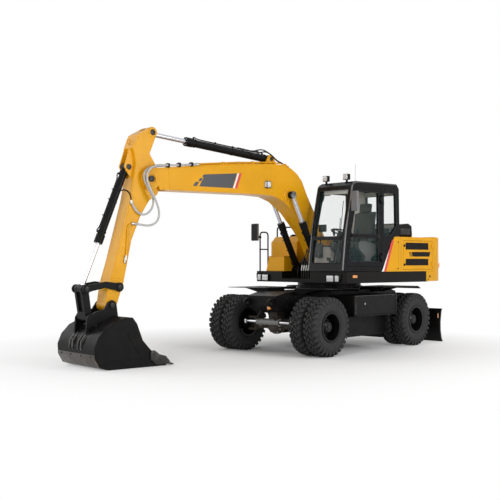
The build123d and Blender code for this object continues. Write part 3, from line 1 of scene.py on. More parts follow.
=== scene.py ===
import json
import math

import bmesh
import bpy
from mathutils import Matrix, Vector

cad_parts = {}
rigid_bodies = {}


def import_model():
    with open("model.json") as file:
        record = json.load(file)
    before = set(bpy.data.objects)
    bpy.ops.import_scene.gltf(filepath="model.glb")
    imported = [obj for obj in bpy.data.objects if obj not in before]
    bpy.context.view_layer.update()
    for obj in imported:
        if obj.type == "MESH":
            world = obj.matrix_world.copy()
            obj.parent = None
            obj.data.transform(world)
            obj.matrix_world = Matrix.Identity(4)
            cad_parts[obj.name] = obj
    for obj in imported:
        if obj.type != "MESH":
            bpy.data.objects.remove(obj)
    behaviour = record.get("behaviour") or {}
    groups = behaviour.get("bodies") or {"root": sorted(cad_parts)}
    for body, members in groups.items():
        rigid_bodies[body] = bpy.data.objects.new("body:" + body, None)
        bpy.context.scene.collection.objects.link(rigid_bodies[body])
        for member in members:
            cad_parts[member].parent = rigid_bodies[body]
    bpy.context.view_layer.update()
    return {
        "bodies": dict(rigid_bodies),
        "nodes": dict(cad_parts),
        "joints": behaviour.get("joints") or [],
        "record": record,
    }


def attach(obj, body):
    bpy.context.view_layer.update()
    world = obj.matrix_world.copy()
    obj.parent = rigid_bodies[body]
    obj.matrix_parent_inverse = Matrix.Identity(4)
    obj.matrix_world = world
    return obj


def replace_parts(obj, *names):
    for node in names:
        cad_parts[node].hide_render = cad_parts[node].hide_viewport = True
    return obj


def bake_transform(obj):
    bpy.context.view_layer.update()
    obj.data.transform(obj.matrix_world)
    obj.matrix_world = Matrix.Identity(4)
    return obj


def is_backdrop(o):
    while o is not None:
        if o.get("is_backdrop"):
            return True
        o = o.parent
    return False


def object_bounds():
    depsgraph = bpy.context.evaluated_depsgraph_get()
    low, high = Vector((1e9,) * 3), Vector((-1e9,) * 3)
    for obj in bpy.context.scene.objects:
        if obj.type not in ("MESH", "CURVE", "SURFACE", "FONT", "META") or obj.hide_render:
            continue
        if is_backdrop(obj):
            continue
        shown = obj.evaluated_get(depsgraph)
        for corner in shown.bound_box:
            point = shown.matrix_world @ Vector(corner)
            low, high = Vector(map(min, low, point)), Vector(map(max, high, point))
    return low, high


# Places that the part's frame gives, in metres and degrees
SLEW_AXIS_X = -1.69
SLEW_AT_REST = -7.65
BOOM_Y = -0.05
CHASSIS = Matrix.Translation((SLEW_AXIS_X, 0, 0))
UPPER = CHASSIS @ Matrix.Rotation(math.radians(SLEW_AT_REST), 4, "Z")
BOOM = UPPER @ Matrix.Translation((0, BOOM_Y, 0))
SIDES = ((1, "left"), (-1, "right"))

# Camera, solved from the photograph's wheels
CAMERA_AT = (12.238, 10.286, 1.682)
CAMERA_AZIMUTH = 131.67
CAMERA_ELEVATION = -0.76
CAMERA_LENS = 62.3


# Node helpers
def socket_name(key):
    return key.replace("_", " ").title().replace("Ior", "IOR")


class Nodes:
    """The node tree of a new material, or of the world, built one node at a time."""

    def __init__(self, name, world=None):
        self.owner = world or bpy.data.materials.new(name)
        self.owner.use_nodes = True
        self.tree = self.owner.node_tree
        self.shader = self.tree.nodes["Background" if world else "Principled BSDF"]

    def add(self, kind, **values):
        node = self.tree.nodes.new("ShaderNode" + kind)
        for key, value in values.items():
            if hasattr(node, key):
                setattr(node, key, value)
            else:
                node.inputs[socket_name(key)].default_value = value
        return node

    def link(self, source, target):
        self.tree.links.new(source, target)

    def set(self, **values):
        for key, value in values.items():
            value = colour(value) if isinstance(value, tuple) else value
            self.shader.inputs[socket_name(key)].default_value = value

    def place(self):
        return self.add("TexCoord").outputs["Object"]

    def noise(self, scale, detail=4.0, roughness=0.5, stretch=None):
        where = self.place()
        if stretch:
            mapping = self.add("Mapping")
            mapping.inputs["Scale"].default_value = stretch
            self.link(where, mapping.inputs["Vector"])
            where = mapping.outputs["Vector"]
        node = self.add("TexNoise", scale=scale, detail=detail, roughness=roughness)
        self.link(where, node.inputs["Vector"])
        return node.outputs["Fac"]

    def ramp(self, source, stops):
        node = self.add("ValToRGB")
        band = node.color_ramp
        while len(band.elements) < len(stops):
            band.elements.new(0.5)
        for element, (at, level) in zip(band.elements, stops):
            element.position = at
            element.color = colour(level) if isinstance(level, tuple) else (level, level, level, 1)
        self.link(source, node.inputs["Fac"])
        return node.outputs["Color"]

    def mix(self, factor, first, second):
        node = self.add("Mix", data_type="RGBA")
        for socket, value in (("Factor", factor), ("A", first), ("B", second)):
            target = [s for s in node.inputs if s.name == socket and s.enabled][0]
            if hasattr(value, "is_linked"):
                self.link(value, target)
            else:
                target.default_value = colour(value)
        return [s for s in node.outputs if s.enabled][0]

    def bump(self, source, strength, distance):
        node = self.add("Bump")
        node.inputs["Strength"].default_value = strength
        node.inputs["Distance"].default_value = distance
        self.link(source, node.inputs["Height"])
        self.link(node.outputs["Normal"], self.shader.inputs["Normal"])

    def rough(self, source, low, high):
        """Roughness that follows a noise between two values."""
        level = self.ramp(source, [(0.3, low), (0.7, high)])
        self.link(level, self.shader.inputs["Roughness"])

    def combine(self, operation, first, second):
        node = self.add("Math", operation=operation)
        self.link(first, node.inputs[0])
        self.link(second, node.inputs[1])
        return node.outputs[0]

    def seen(self):
        """1 for camera, glossy and transmission rays, which see the background white."""
        path = self.add("LightPath").outputs
        seen = self.combine("MAXIMUM", path["Is Camera Ray"], path["Is Glossy Ray"])
        return self.combine("MAXIMUM", seen, path["Is Transmission Ray"])

    def blend_in(self, share, shader, output):
        """Mix another shader over the tree's own one and send it to the output."""
        mix = self.add("MixShader")
        sources = (share, self.shader.outputs[0], shader.outputs[0])
        for source, target in zip(sources, mix.inputs):
            self.link(source, target)
        self.link(mix.outputs[0], self.tree.nodes[output].inputs["Surface"])


def colour(values):
    return (*values, 1.0)


def scaled(base, factor):
    return tuple(min(1, c * factor) for c in base)


def paint(name, base, roughness, coat, spread=0.04, dust=0.0, shine=0.5, scuff=None):
    """Sprayed enamel: a little uneven in tone, with fine orange peel and some dust."""
    m = Nodes(name)
    stops = [(0.35, scaled(base, 1 - spread)), (0.65, scaled(base, 1 + spread))]
    tone = m.ramp(m.noise(2.3, 3), stops)
    if dust:
        grime = m.ramp(m.noise(5.1, 8, 0.65), [(0.45, 0), (0.75, dust)])
        tone = m.mix(grime, tone, (0.2, 0.18, 0.15))
    if scuff:
        patches = m.ramp(m.noise(7.0, 10, 0.7), [(0.52, 0), (0.6, 0.55)])
        tone = m.mix(patches, tone, scuff)
    m.link(tone, m.shader.inputs["Base Color"])
    m.rough(m.noise(9.0, 5), roughness - 0.05, roughness + 0.07)
    m.set(coat_weight=coat, coat_roughness=0.08, specular_ior_level=shine)
    m.bump(m.noise(160.0, 2), 0.08, 0.001)
    return m.owner


def metal(name, base, roughness, grain=(1, 1, 60), strength=0.15):
    m = Nodes(name)
    m.set(base_color=base, metallic=1.0)
    line = m.noise(30.0, 4, 0.6, stretch=grain)
    m.rough(line, roughness * 0.7, roughness * 1.3)
    m.bump(line, strength, 0.0005)
    return m.owner


def rubber(name, base, roughness=0.72, dust=0.35):
    m = Nodes(name)
    dusty = tuple(c + 0.03 * dust for c in base)
    tone = m.ramp(m.noise(14.0, 8, 0.7), [(0.35, base), (0.8, dusty)])
    m.link(tone, m.shader.inputs["Base Color"])
    m.rough(m.noise(40.0, 4), roughness - 0.1, roughness + 0.1)
    m.set(specular_ior_level=0.3)
    m.bump(m.noise(220.0, 3), 0.25, 0.001)
    return m.owner


def plastic(name, base, roughness=0.55, grain=300.0):
    m = Nodes(name)
    tone = m.ramp(m.noise(3.0, 2), [(0.4, scaled(base, 0.93)), (0.6, base)])
    m.link(tone, m.shader.inputs["Base Color"])
    m.set(roughness=roughness)
    m.bump(m.noise(grain, 2), 0.2, 0.0006)
    return m.owner


def glass(name, tint, alpha):
    """Thin window glass: tinted, mostly see-through, with sharp reflections."""
    m = Nodes(name)
    tone = m.ramp(m.noise(1.2, 2), [(0.4, tint), (0.6, scaled(tint, 0.9))])
    m.link(tone, m.shader.inputs["Base Color"])
    m.set(roughness=0.03, alpha=alpha, specular_ior_level=0.8)
    return m.owner


def lens(name, base):
    """A ribbed lamp lens."""
    m = Nodes(name)
    rib = m.add("TexWave", scale=60.0, distortion=0.0)
    m.link(m.place(), rib.inputs["Vector"])
    m.set(base_color=base, roughness=0.08, coat_weight=1.0, transmission_weight=0.3)
    m.bump(rib.outputs["Fac"], 0.5, 0.002)
    return m.owner


FINISH = {
    "yellow": paint("yellow enamel", (0.69, 0.325, 0.005), 0.32, 0.05, shine=0.18),
    "cab": paint("cab enamel", (0.006, 0.006, 0.007), 0.26, 0.03, shine=0.1),
    "black": paint("black enamel", (0.007, 0.006, 0.0055), 0.34, 0.02, shine=0.1),
    "dark": paint("chassis enamel", (0.005, 0.0045, 0.0045), 0.38, 0.01, dust=0.02, shine=0.09),
    "scuffed": paint(
        "scuffed enamel", (0.045, 0.038, 0.031), 0.38, 0.05, shine=0.4, scuff=(0.13, 0.12, 0.11)
    ),
    "forged": paint(
        "forged tip", (0.016, 0.015, 0.014), 0.45, 0.0, shine=0.35, scuff=(0.06, 0.055, 0.05)
    ),
    "worn": paint(
        "worn edge", (0.035, 0.033, 0.032), 0.45, 0.0, shine=0.4, scuff=(0.16, 0.15, 0.14)
    ),
    "red": paint("red stripe", (0.62, 0.03, 0.02), 0.32, 0.3),
    "white": paint("white stripe", (0.8, 0.8, 0.78), 0.32, 0.3),
    "grey": paint("grey panel", (0.035, 0.036, 0.042), 0.35, 0.2),
    "chrome": metal("polished rod", (0.56, 0.56, 0.59), 0.2, (1, 1, 1), 0.02),
    "steel": metal("worn steel", (0.33, 0.31, 0.29), 0.42),
    "bolt": metal("zinc plated", (0.42, 0.42, 0.41), 0.38),
    "tyre": rubber("tyre rubber", (0.0165, 0.0165, 0.0165)),
    "hose": rubber("black hose", (0.012, 0.012, 0.013), 0.5, 0.1),
    "seal": rubber("rubber seal", (0.008, 0.008, 0.009), 0.6, 0.1),
    "sleeve": rubber("grey sleeved hose", (0.42, 0.42, 0.41), 0.5, 0.2),
    "glass": glass("window glass", (0.1, 0.22, 0.21), 0.055),
    "interior": plastic("cab plastic", (0.05, 0.046, 0.042)),
    "lining": plastic("cab lining", (0.52, 0.47, 0.4), 0.7),
    "shell": plastic("mirror shell", (0.13, 0.13, 0.135), 0.4),
    "trim": paint("glossy trim", (0.012, 0.012, 0.014), 0.16, 0.7, shine=0.6),
    "pale": plastic("blind cloth", (0.62, 0.62, 0.6), 0.8, 500.0),
    "seat": plastic("seat cloth", (0.06, 0.05, 0.043), 0.85, 700.0),
    "iron": paint("engine enamel", (0.1, 0.11, 0.12), 0.45, 0.1, dust=0.1),
    "clear": lens("clear lens", (0.86, 0.88, 0.9)),
    "amber": lens("amber lens", (0.95, 0.35, 0.03)),
    "ruby": lens("red lens", (0.6, 0.02, 0.02)),
    "gloss": paint("rim enamel", (0.0055, 0.0055, 0.0065), 0.18, 0.07, shine=0.14),
    "hub": paint("hub enamel", (0.012, 0.011, 0.01), 0.4, 0.05, dust=0.04, shine=0.25),
    "nut": paint("painted nut", (0.016, 0.016, 0.016), 0.32, 0.05, shine=0.3),
    "pin": paint("pin enamel", (0.01, 0.009, 0.008), 0.36, 0.04, dust=0.03, shine=0.25),
    "axle": paint("dusty axle", (0.035, 0.028, 0.02), 0.6, 0.0, dust=0.25, shine=0.3),
    "silver": paint("light grey enamel", (0.15, 0.15, 0.145), 0.45, 0.1),
    "mirror": metal("mirror", (0.8, 0.82, 0.84), 0.05, (1, 1, 1), 0.0),
}

def place_of(body):
    """The matrix from a body's own coordinates, as at rest, to the scene's."""
    if body in ("chassis", "blade"):
        return CHASSIS
    return BOOM if body.startswith(("boom", "arm", "bucket", "rocker")) else UPPER


def put(name, data):
    """A new object in the scene."""
    item = bpy.data.objects.new(name, data)
    bpy.context.scene.collection.objects.link(item)
    return item


def around(count, radius, start=0.0):
    """Points on a circle, each as the radius times sine and cosine."""
    turns = [start + 2 * math.pi * index / count for index in range(count)]
    return [(radius * math.sin(turn), radius * math.cos(turn)) for turn in turns]


# Shapes that grow face by face
class Shape:
    """One piece of the dress, gathered from simple closed forms."""

    def __init__(self):
        self.mesh = bmesh.new()

    def _bevel(self, made, width, segments=2):
        edges = {e for v in made for e in v.link_edges if e.calc_face_angle(0) > math.radians(35)}
        bmesh.ops.bevel(
            self.mesh, geom=list(edges), offset=width, segments=segments, profile=0.6, affect="EDGES"
        )

    def _skin(self, rings, loop=False):
        """Faces between neighbouring rings of vertices, with caps unless they close a loop."""
        faces = [] if loop else [self.mesh.faces.new(ring) for ring in (rings[0], rings[-1])]
        pairs = zip(rings, rings[1:] + rings[:1] if loop else rings[1:])
        for here, there in pairs:
            for index, corner in enumerate(here):
                far = (index + 1) % len(here)
                faces.append(self.mesh.faces.new((corner, here[far], there[far], there[index])))
        bmesh.ops.recalc_face_normals(self.mesh, faces=faces)

    def block(self, low, high, bevel=0.003):
        middle = [(a + b) / 2 for a, b in zip(low, high)]
        size = [abs(b - a) for a, b in zip(low, high)]
        place = Matrix.Translation(middle) @ Matrix.Diagonal((*size, 1))
        made = bmesh.ops.create_cube(self.mesh, size=1, matrix=place)["verts"]
        if bevel:
            self._bevel(made, min(bevel, min(size) * 0.4))

    def pair(self, low, high, bevel=0.003):
        """A block on the left side and its mirror image on the right."""
        self.block(low, high, bevel)
        self.block((low[0], -high[1], low[2]), (high[0], -low[1], high[2]), bevel)

    def rod(self, start, end, radius, sides=20, bevel=0.0, end_radius=None):
        start, end = Vector(start), Vector(end)
        run = end - start
        turn = run.to_track_quat("Z", "Y").to_matrix().to_4x4()
        made = bmesh.ops.create_cone(
            self.mesh,
            cap_ends=True,
            segments=sides,
            radius1=radius,
            radius2=radius if end_radius is None else end_radius,
            depth=run.length,
            matrix=Matrix.Translation((start + end) / 2) @ turn,
        )["verts"]
        if bevel:
            self._bevel(made, bevel)

    def bolt(self, at, axis, size=0.012):
        """A hexagon head on a washer; size is half the head's width."""
        at, axis = Vector(at), Vector(axis).normalized()
        self.rod(at - axis * 0.001, at + axis * size * 0.18, size * 1.5)
        self.rod(at, at + axis * size * 0.95, size * 1.1, 6, bevel=size * 0.08)

    def prism(self, outline, low, high, axis="Y", bevel=0.002):
        """A plate from an outline; axis is the way it is thick."""
        spot = "XYZ".index(axis)
        rings = []
        for depth in (low, high):
            points = [(*point[:spot], depth, *point[spot:]) for point in outline]
            rings.append([self.mesh.verts.new(point) for point in points])
        self._skin(rings)
        if bevel:
            self._bevel([v for ring in rings for v in ring], bevel)

    def turned(self, profile, centre, axis=(0, 1, 0), segments=48, start=0.0, sweep=360.0):
        """A closed profile of radius and height turned about an axis through the centre."""
        spin = Vector((0, 0, 1)).rotation_difference(Vector(axis)).to_matrix().to_4x4()
        place = Matrix.Translation(centre) @ spin
        full = sweep >= 360.0
        rings = []
        for step in range(segments if full else segments + 1):
            angle = math.radians(start + sweep * step / segments)
            cos, sin = math.cos(angle), math.sin(angle)
            points = [place @ Vector((r * cos, r * sin, h)) for r, h in profile]
            rings.append([self.mesh.verts.new(point) for point in points])
        self._skin(rings, loop=full)

    def data(self, name):
        """The finished mesh; the shape is used up."""
        bmesh.ops.remove_doubles(self.mesh, verts=self.mesh.verts, dist=1e-6)
        data = bpy.data.meshes.new(name)
        self.mesh.to_mesh(data)
        self.mesh.free()
        return data

    def done(self, name, finish, body, slot=None, place=None):
        data = self.data(name)
        data.transform(place or place_of(body))
        return settle(put(name, data), finish, body)


def settle(piece, finish, body):
    """Give a piece its finish and let it ride on its body."""
    if piece.type == "MESH":
        piece.data.shade_smooth()
        piece.data.set_sharp_from_angle(angle=math.radians(32))
    piece.data.materials.append(FINISH[finish])
    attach(piece, body)
    return piece


def tube(name, points, place, radius=0.0, order=3, resolution=3, kind="NURBS"):
    """A curve with these control points, round where it has a radius."""
    curve = bpy.data.curves.new(name, "CURVE")
    curve.dimensions = "3D"
    curve.bevel_depth = radius
    curve.bevel_resolution = resolution
    curve.use_fill_caps = True
    spline = curve.splines.new(kind)
    spline.points.add(len(points) - 1)
    for target, point in zip(spline.points, points):
        target.co = (*(place @ Vector(point)), 1)
    spline.use_endpoint_u = True
    spline.order_u = order
    spline.resolution_u = 10
    return curve


def pipe(name, points, radius, finish, body, straight=False):
    """A round tube along a smooth line with these control points, or along straight runs."""
    curve = tube(name, points, place_of(body), radius, order=2 if straight else 3)
    return settle(put(name, curve), finish, body)


def side_lines(stem, lines, radius, finish):
    """Beads along both side faces, from rows of body, face and points in the side view."""
    for index, (body, face, line) in enumerate(lines):
        for side, word in SIDES:
            points = [(x, side * face, z) for x, z in line]
            pipe(f"{stem}_{index}_{word}", points, radius, finish, body, straight=True)


# The frame's own nodes: per finish the node's name or its start, and a bevel in millimetres
NODE_FINISHES = {
    "tyre": {"tyres_": 0},
    "gloss": {"rims_": 3},
    "axle": {"front_axle": 8},
    "silver": {"steering_cylinder": 4},
    "glass": {"cab_glass": 0, "door_glass": 0},
    "interior": {"cab_interior": 10},
    "iron": {"engine_block": 10},
    "forged": {"bucket_teeth": 5},
    "cab": {"cab_shell": 5, "door": 5},
    "chrome": {"steering_rod": 2, "blade_rods": 2, "boom_rods": 2, "arm_rod": 2, "bucket_rod": 2},
    "black": {
        "deck": 10, "boom_bracket": 6, "raised_hood": 0, "handrails": 0, "mirrors": 6, "lamps": 4,
    },
    "yellow": {
        "engine_housing": 4, "service_door_": 6, "hood": 8, "counterweight": 28, "tool_box": 8,
        "tanks": 16, "boom_pipes": 0, "boom": 6, "arm": 6,
    },
    "dark": {
        "chassis_frame": 8, "slew_ring": 3, "fenders": 2, "step_boxes": 8, "rear_axle": 8,
        "gearbox_and_shafts": 6, "tow_eyes": 6, "knuckle_": 6, "blade_barrels": 3, "blade": 6,
        "boom_barrels": 3, "arm_barrel": 3, "rocker": 6, "link": 6, "bucket_barrel": 3, "bucket": 5,
    },
}


def dress_nodes(nodes):
    rows = []
    for finish, widths in NODE_FINISHES.items():
        rows += [(start, finish, width) for start, width in widths.items()]
    for name, node in nodes.items():
        fitting = [row for row in rows if name.startswith(row[0])]
        _, finish, width = max(fitting, key=lambda row: len(row[0]))
        node.data.materials.clear()
        node.data.materials.append(FINISH[finish])
        if width:
            weld = node.modifiers.new("weld", "WELD")
            weld.merge_threshold = 0.0001
            bevel = node.modifiers.new("bevel", "BEVEL")
            bevel.width = width / 1000
            bevel.segments = 2
            bevel.limit_method = "ANGLE"
            bevel.angle_limit = math.radians(30)
            bevel.harden_normals = False
            node.modifiers.new("weighted", "WEIGHTED_NORMAL")


# Wheels
AXLE_Z = 0.527
WHEEL_Y = 0.974
TWIN_PITCH = 0.32
# Wheel, X of its axle from the slew axis, side
WHEELS = [
    ("front_left", 1.62, 1),
    ("front_right", 1.62, -1),
    ("rear_left", -1.23, 1),
    ("rear_right", -1.23, -1),
]
# Radius and half width of a tyre, from the bead over the sidewall to the crown
TYRE_WALL = [
    (0.2572, 0.0985), (0.274, 0.1), (0.278, 0.106), (0.29, 0.1085), (0.293, 0.115), (0.312, 0.12),
    (0.315, 0.1235), (0.319, 0.1235), (0.322, 0.123), (0.35, 0.1315), (0.385, 0.135),
    (0.406, 0.131), (0.409, 0.135), (0.416, 0.135), (0.42, 0.1285), (0.445, 0.124), (0.468, 0.114),
    (0.485, 0.1), (0.493, 0.082), (0.496, 0.045),
]
# A block's section, half width and radius: the shoulder, then the inner column
SHOULDER_BLOCK = [
    (0.062, 0.488), (0.064, 0.5245), (0.096, 0.523), (0.118, 0.5165), (0.13, 0.501), (0.135, 0.464),
    (0.1335, 0.43), (0.124, 0.426), (0.102, 0.475),
]
INNER_BLOCK = [(0.004, 0.492), (0.0055, 0.5268), (0.054, 0.525), (0.0555, 0.492)]
PITCHES = 30


def tread_block(shape, section, side, middle, half, lean):
    """One rubber block: its section at two angles, leaning with the distance from the middle."""
    rings = []
    for edge in (-1, 1):
        points = []
        for y, radius in section:
            shrink = 1.0 if radius < 0.5 else 0.86
            angle = middle + edge * half * shrink + lean * y
            points.append((radius * math.sin(angle), side * y, -radius * math.cos(angle)))
        rings.append([shape.mesh.verts.new(point) for point in points])
    shape._skin(rings)
    return rings[0] + rings[1]


def tyre_pair():
    """Two lugged tyres about the Y axis, with their middles a twin pitch apart."""
    shape = Shape()
    outer = [(r, -w) for r, w in TYRE_WALL] + [(r, w) for r, w in reversed(TYRE_WALL)]
    shape.turned(outer, (0, 0, 0), segments=96)
    pitch = 2 * math.pi / PITCHES
    made = []
    for index in range(PITCHES):
        for side in (1, -1):
            middle = (index + (0.5 if side < 0 else 0.0)) * pitch
            made += tread_block(shape, SHOULDER_BLOCK, side, middle, 0.3 * pitch, 0.9)
            made += tread_block(shape, INNER_BLOCK, side, middle + 0.45 * pitch, 0.33 * pitch, -2.0)
    shape._bevel(made, 0.0022, segments=1)
    data = bpy.data.meshes.new("twin")
    shape.mesh.to_mesh(data)
    data.transform(Matrix.Translation((0, TWIN_PITCH, 0)))
    shape.mesh.from_mesh(data)
    bpy.data.meshes.remove(data)
    shape.mesh.transform(Matrix.Translation((0, -TWIN_PITCH / 2, 0)))
    return shape.data("tyre_pair")


def add_wheels():
    mesh = tyre_pair()
    for name, x, side in WHEELS:
        place = CHASSIS @ Matrix.Translation((x, side * WHEEL_Y, AXLE_Z))
        pair = put("treads_" + name, mesh.copy())
        pair.data.transform(place)
        settle(pair, "tyre", "wheel_" + name)
        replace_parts(pair, "tyres_" + name)
        if side < 0:
            place = place @ Matrix.Rotation(math.pi, 4, "Z")
        add_rim_details(name, place)


def add_rim_details(name, place):
    """Rolled lips, a ring of wheel nuts, the hub cover's bolts and the valve."""
    body = "wheel_" + name
    lips = Shape()
    for y in (0.266, -0.266):
        angles = [math.radians(-20 + 27.5 * step) for step in range(9)]
        curl = [(0.2625 + 0.0085 * math.cos(a), y + 0.0095 * math.sin(a)) for a in angles]
        lips.turned(curl, (0, 0, 0), segments=72)
    lips.done("rim_lips_" + name, "gloss", body, "black_paint", place)
    nuts = Shape()
    for x, z in around(10, 0.134):
        nuts.bolt((x, 0.13, z), (0, 1, 0), size=0.0135)
        nuts.rod((x, 0.141, z), (x, 0.152, z), 0.0085, 12, bevel=0.001)
    for x, z in around(6, 0.068, math.pi / 6):
        nuts.bolt((x, 0.215, z), (0, 1, 0), size=0.008)
    nuts.done("wheel_nuts_" + name, "nut", body, "black_paint", place)
    cover = Shape()
    cap = [(0.0, 0.225), (0.03, 0.225), (0.034, 0.2215), (0.034, 0.215), (0.0, 0.215)]
    cover.turned(cap, (0, 0, 0), segments=32)
    collar = [(0.1, 0.13), (0.121, 0.13), (0.121, 0.142), (0.112, 0.15), (0.1, 0.15)]
    cover.turned(collar, (0, 0, 0))
    cover.rod((0.19, 0.06, 0.0), (0.205, 0.09, 0.0), 0.0045, 12)
    cover.rod((0.205, 0.09, 0.0), (0.209, 0.101, 0.0), 0.0065, 12, bevel=0.001)
    cover.done("hub_details_" + name, "hub", body, "black_paint", place)


# Boom, arm and bucket dressing; X and Z are those of the side view
BOOM_SIDE = 0.2
THIN = 0.0008
PANEL_OUTLINE = [(3.369, 2.98), (3.232, 3.196), (2.514, 3.262), (2.619, 2.99)]
WHITE_SLASH = [(2.603, 2.99), (2.498, 3.263), (2.464, 3.266), (2.57, 2.989)]
RED_SLASH = [(2.566, 2.989), (2.46, 3.266), (2.402, 3.271), (2.512, 2.987)]
# The three small slanting squares
SQUARES = [
    [(3.3, 3.143), (3.271, 3.191), (3.223, 3.193), (3.252, 3.146)],
    [(3.382, 3.07), (3.347, 3.127), (3.286, 3.13), (3.322, 3.073)],
    [(3.498, 2.979), (3.445, 3.056), (3.364, 3.059), (3.418, 2.98)],
]


def add_boom_marks():
    """Thin plates and painted fields on both side faces of the boom."""
    for name, outlines, finish, slot in (
        ("boom_panel", [PANEL_OUTLINE, *SQUARES], "grey", "black_paint"),
        ("boom_white_slash", [WHITE_SLASH], "white", None),
        ("boom_red_slash", [RED_SLASH], "red", None),
    ):
        shape = Shape()
        for outline in outlines:
            shape.prism(outline, BOOM_SIDE, BOOM_SIDE + THIN, bevel=0)
            shape.prism(outline, -BOOM_SIDE - THIN, -BOOM_SIDE, bevel=0)
        shape.done(name, finish, "boom", slot)


# Pin name, body, X, Z, face, cap radius, boss radius, boss height
PINS = [
    ("arm_pivot", "boom", 4.36, 3.05, 0.2, 0.052, 0.112, 0.017),
    ("boom_foot", "boom", 0.25, 1.8, 0.2, 0.0, 0.12, 0.004),
    ("arm_cylinder_base", "boom", 1.6, 3.6, 0.101, 0.04, 0.06, 0.006),
    ("arm_cylinder_eye", "arm", 4.3, 3.83, 0.145, 0.05, 0.078, 0.01),
    ("bucket_cylinder_base", "arm", 4.73, 3.23, 0.091, 0.046, 0.058, 0.006),
    ("rocker_pivot", "rocker", 4.95, 1.27, 0.181, 0.042, 0.06, 0.01),
    ("rocker_tip", "rocker", 5.55, 1.25, 0.181, 0.04, 0.056, 0.01),
    ("bucket_pivot", "bucket", 5.1, 0.98, 0.208, 0.044, 0.0, 0.0),
]
CAP_PROUD = 0.008


def add_pins():
    """Pin caps with their keeper bolts, on bosses."""
    for name, body, x, z, face, cap, boss, height in PINS:
        finish = "yellow" if body in ("boom", "arm") else "dark"
        for side, word in SIDES:
            if boss:
                ring = Shape()
                inner = boss - 0.03
                profile = [(inner, 0), (boss, 0), (boss - 0.004, height), (inner, height)]
                ring.turned(profile, (x, side * face, z), (0, side, 0))
                ring.done(f"boss_{name}_{word}", finish, body)
            if cap:
                top = Shape()
                # The arm pivot's cap stands a little off its boss
                end = side * (face + (0.0186 if name == "arm_pivot" else height) + CAP_PROUD)
                top.rod((x, side * face, z), (x, end, z), cap, 40, bevel=0.003)
                for turn in (0.6, 2.7, 4.8):
                    at = (x + 0.6 * cap * math.cos(turn), end, z + 0.6 * cap * math.sin(turn))
                    top.bolt(at, (0, side, 0), size=0.006)
                top.done(f"pin_cap_{name}_{word}", "pin", body)


# Weld beads on the boom's and arm's side faces: body, face, points in the side view
WELDS = [
    ("boom", 0.2, [(1.576, 3.47), (1.671, 3.343), (1.689, 3.26), (1.64, 3.16), (1.625, 2.9)]),
    ("boom", 0.2, [(4.01, 3.262), (3.985, 2.905)]),
    ("boom", 0.2, [(0.64, 2.735), (0.88, 2.6), (1.0, 2.54)]),
    ("arm", 0.145, [(4.245, 3.3), (4.47, 3.23), (4.64, 3.19)]),
    ("arm", 0.145, [(4.885, 1.4), (5.09, 1.42)]),
]
# Weld beads along the edges of the box sections
EDGE_WELDS = [
    (
        "boom",
        0.2,
        [(4.24, 3.216), (3.5, 3.312), (2.48, 3.42), (1.72, 3.476), (1.375, 3.479),
         (1.19, 3.426), (1.042, 3.338), (0.913, 3.21), (0.775, 2.942), (0.42, 2.35)],
    ),
    (
        "boom",
        0.2,
        [(4.16, 2.896), (2.06, 2.928), (1.646, 2.916), (1.393, 2.836), (1.07, 2.624),
         (0.738, 2.29), (0.548, 2.058)],
    ),
    ("arm", 0.145, [(4.225, 3.84), (4.272, 3.72), (4.376, 3.47)]),
    ("arm", 0.145, [(4.548, 2.436), (4.725, 2.036), (4.876, 1.34), (4.93, 1.18)]),
    (
        "arm",
        0.145,
        [(4.571, 3.755), (4.662, 3.552), (4.612, 3.31), (4.726, 2.68), (4.996, 1.708),
         (5.126, 1.3)],
    ),
]
BUCKET_SEAMS = [
    ("bucket", 0.582, [(5.54, 0.075), (5.428, 0.128), (4.716, 0.16)]),
    ("bucket", 0.582, [(5.06, 0.56), (5.0, 0.43), (4.821, 0.2)]),
    (
        "bucket",
        0.582,
        [(5.085, 0.8), (5.435, 0.645), (5.572, 0.508), (5.638, 0.355), (5.628, 0.205)],
    ),
]


def add_welds():
    side_lines("weld", WELDS, 0.0045, "yellow")
    side_lines("edge_weld", EDGE_WELDS, 0.0035, "yellow")
    side_lines("bucket_seam", BUCKET_SEAMS, 0.005, "dark")


# Hoses that hang between boom and arm, points in the boom's side view
SMALL_LOOP = [
    (3.44, 0.172, 3.356), (3.65, 0.172, 3.335), (3.9, 0.173, 3.309), (4.1, 0.18, 3.286),
    (4.26, 0.215, 3.262), (4.42, 0.232, 3.232), (4.53, 0.236, 3.14), (4.52, 0.236, 3.01),
    (4.43, 0.236, 2.87), (4.335, 0.232, 2.72), (4.345, 0.22, 2.56), (4.47, 0.2, 2.44),
    (4.6, 0.18, 2.47), (4.69, 0.17, 2.57), (4.73, 0.164, 2.68),
]
LARGE_LOOP = [
    (3.44, 0.216, 3.35), (3.65, 0.216, 3.33), (3.9, 0.218, 3.304), (4.1, 0.23, 3.29),
    (4.27, 0.262, 3.28), (4.43, 0.28, 3.225), (4.505, 0.284, 3.11), (4.49, 0.284, 2.98),
    (4.41, 0.284, 2.83), (4.3, 0.28, 2.65), (4.235, 0.27, 2.47), (4.28, 0.245, 2.32),
    (4.42, 0.21, 2.265), (4.58, 0.18, 2.29), (4.7, 0.17, 2.3),
]
HOSE_RADIUS = 0.018


def mesh_along(name, points, radius=0.0):
    """The mesh of a hose's smooth line, or of the hose itself if it has a radius."""
    curve = tube(name, points, BOOM, radius, resolution=4)
    holder = put("holder", curve)
    mesh = bpy.data.meshes.new_from_object(holder)
    bpy.data.objects.remove(holder)
    bpy.data.curves.remove(curve)
    return mesh


def hanging_hose(name, points, finish):
    """A hose from the boom to the arm."""
    mesh = mesh_along(name, points, HOSE_RADIUS)
    mesh.shade_smooth()
    mesh.materials.clear()
    mesh.materials.append(FINISH[finish])
    hose = put(name, mesh)
    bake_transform(hose)
    centre = mesh_along("line", points)
    bpy.data.meshes.remove(centre)


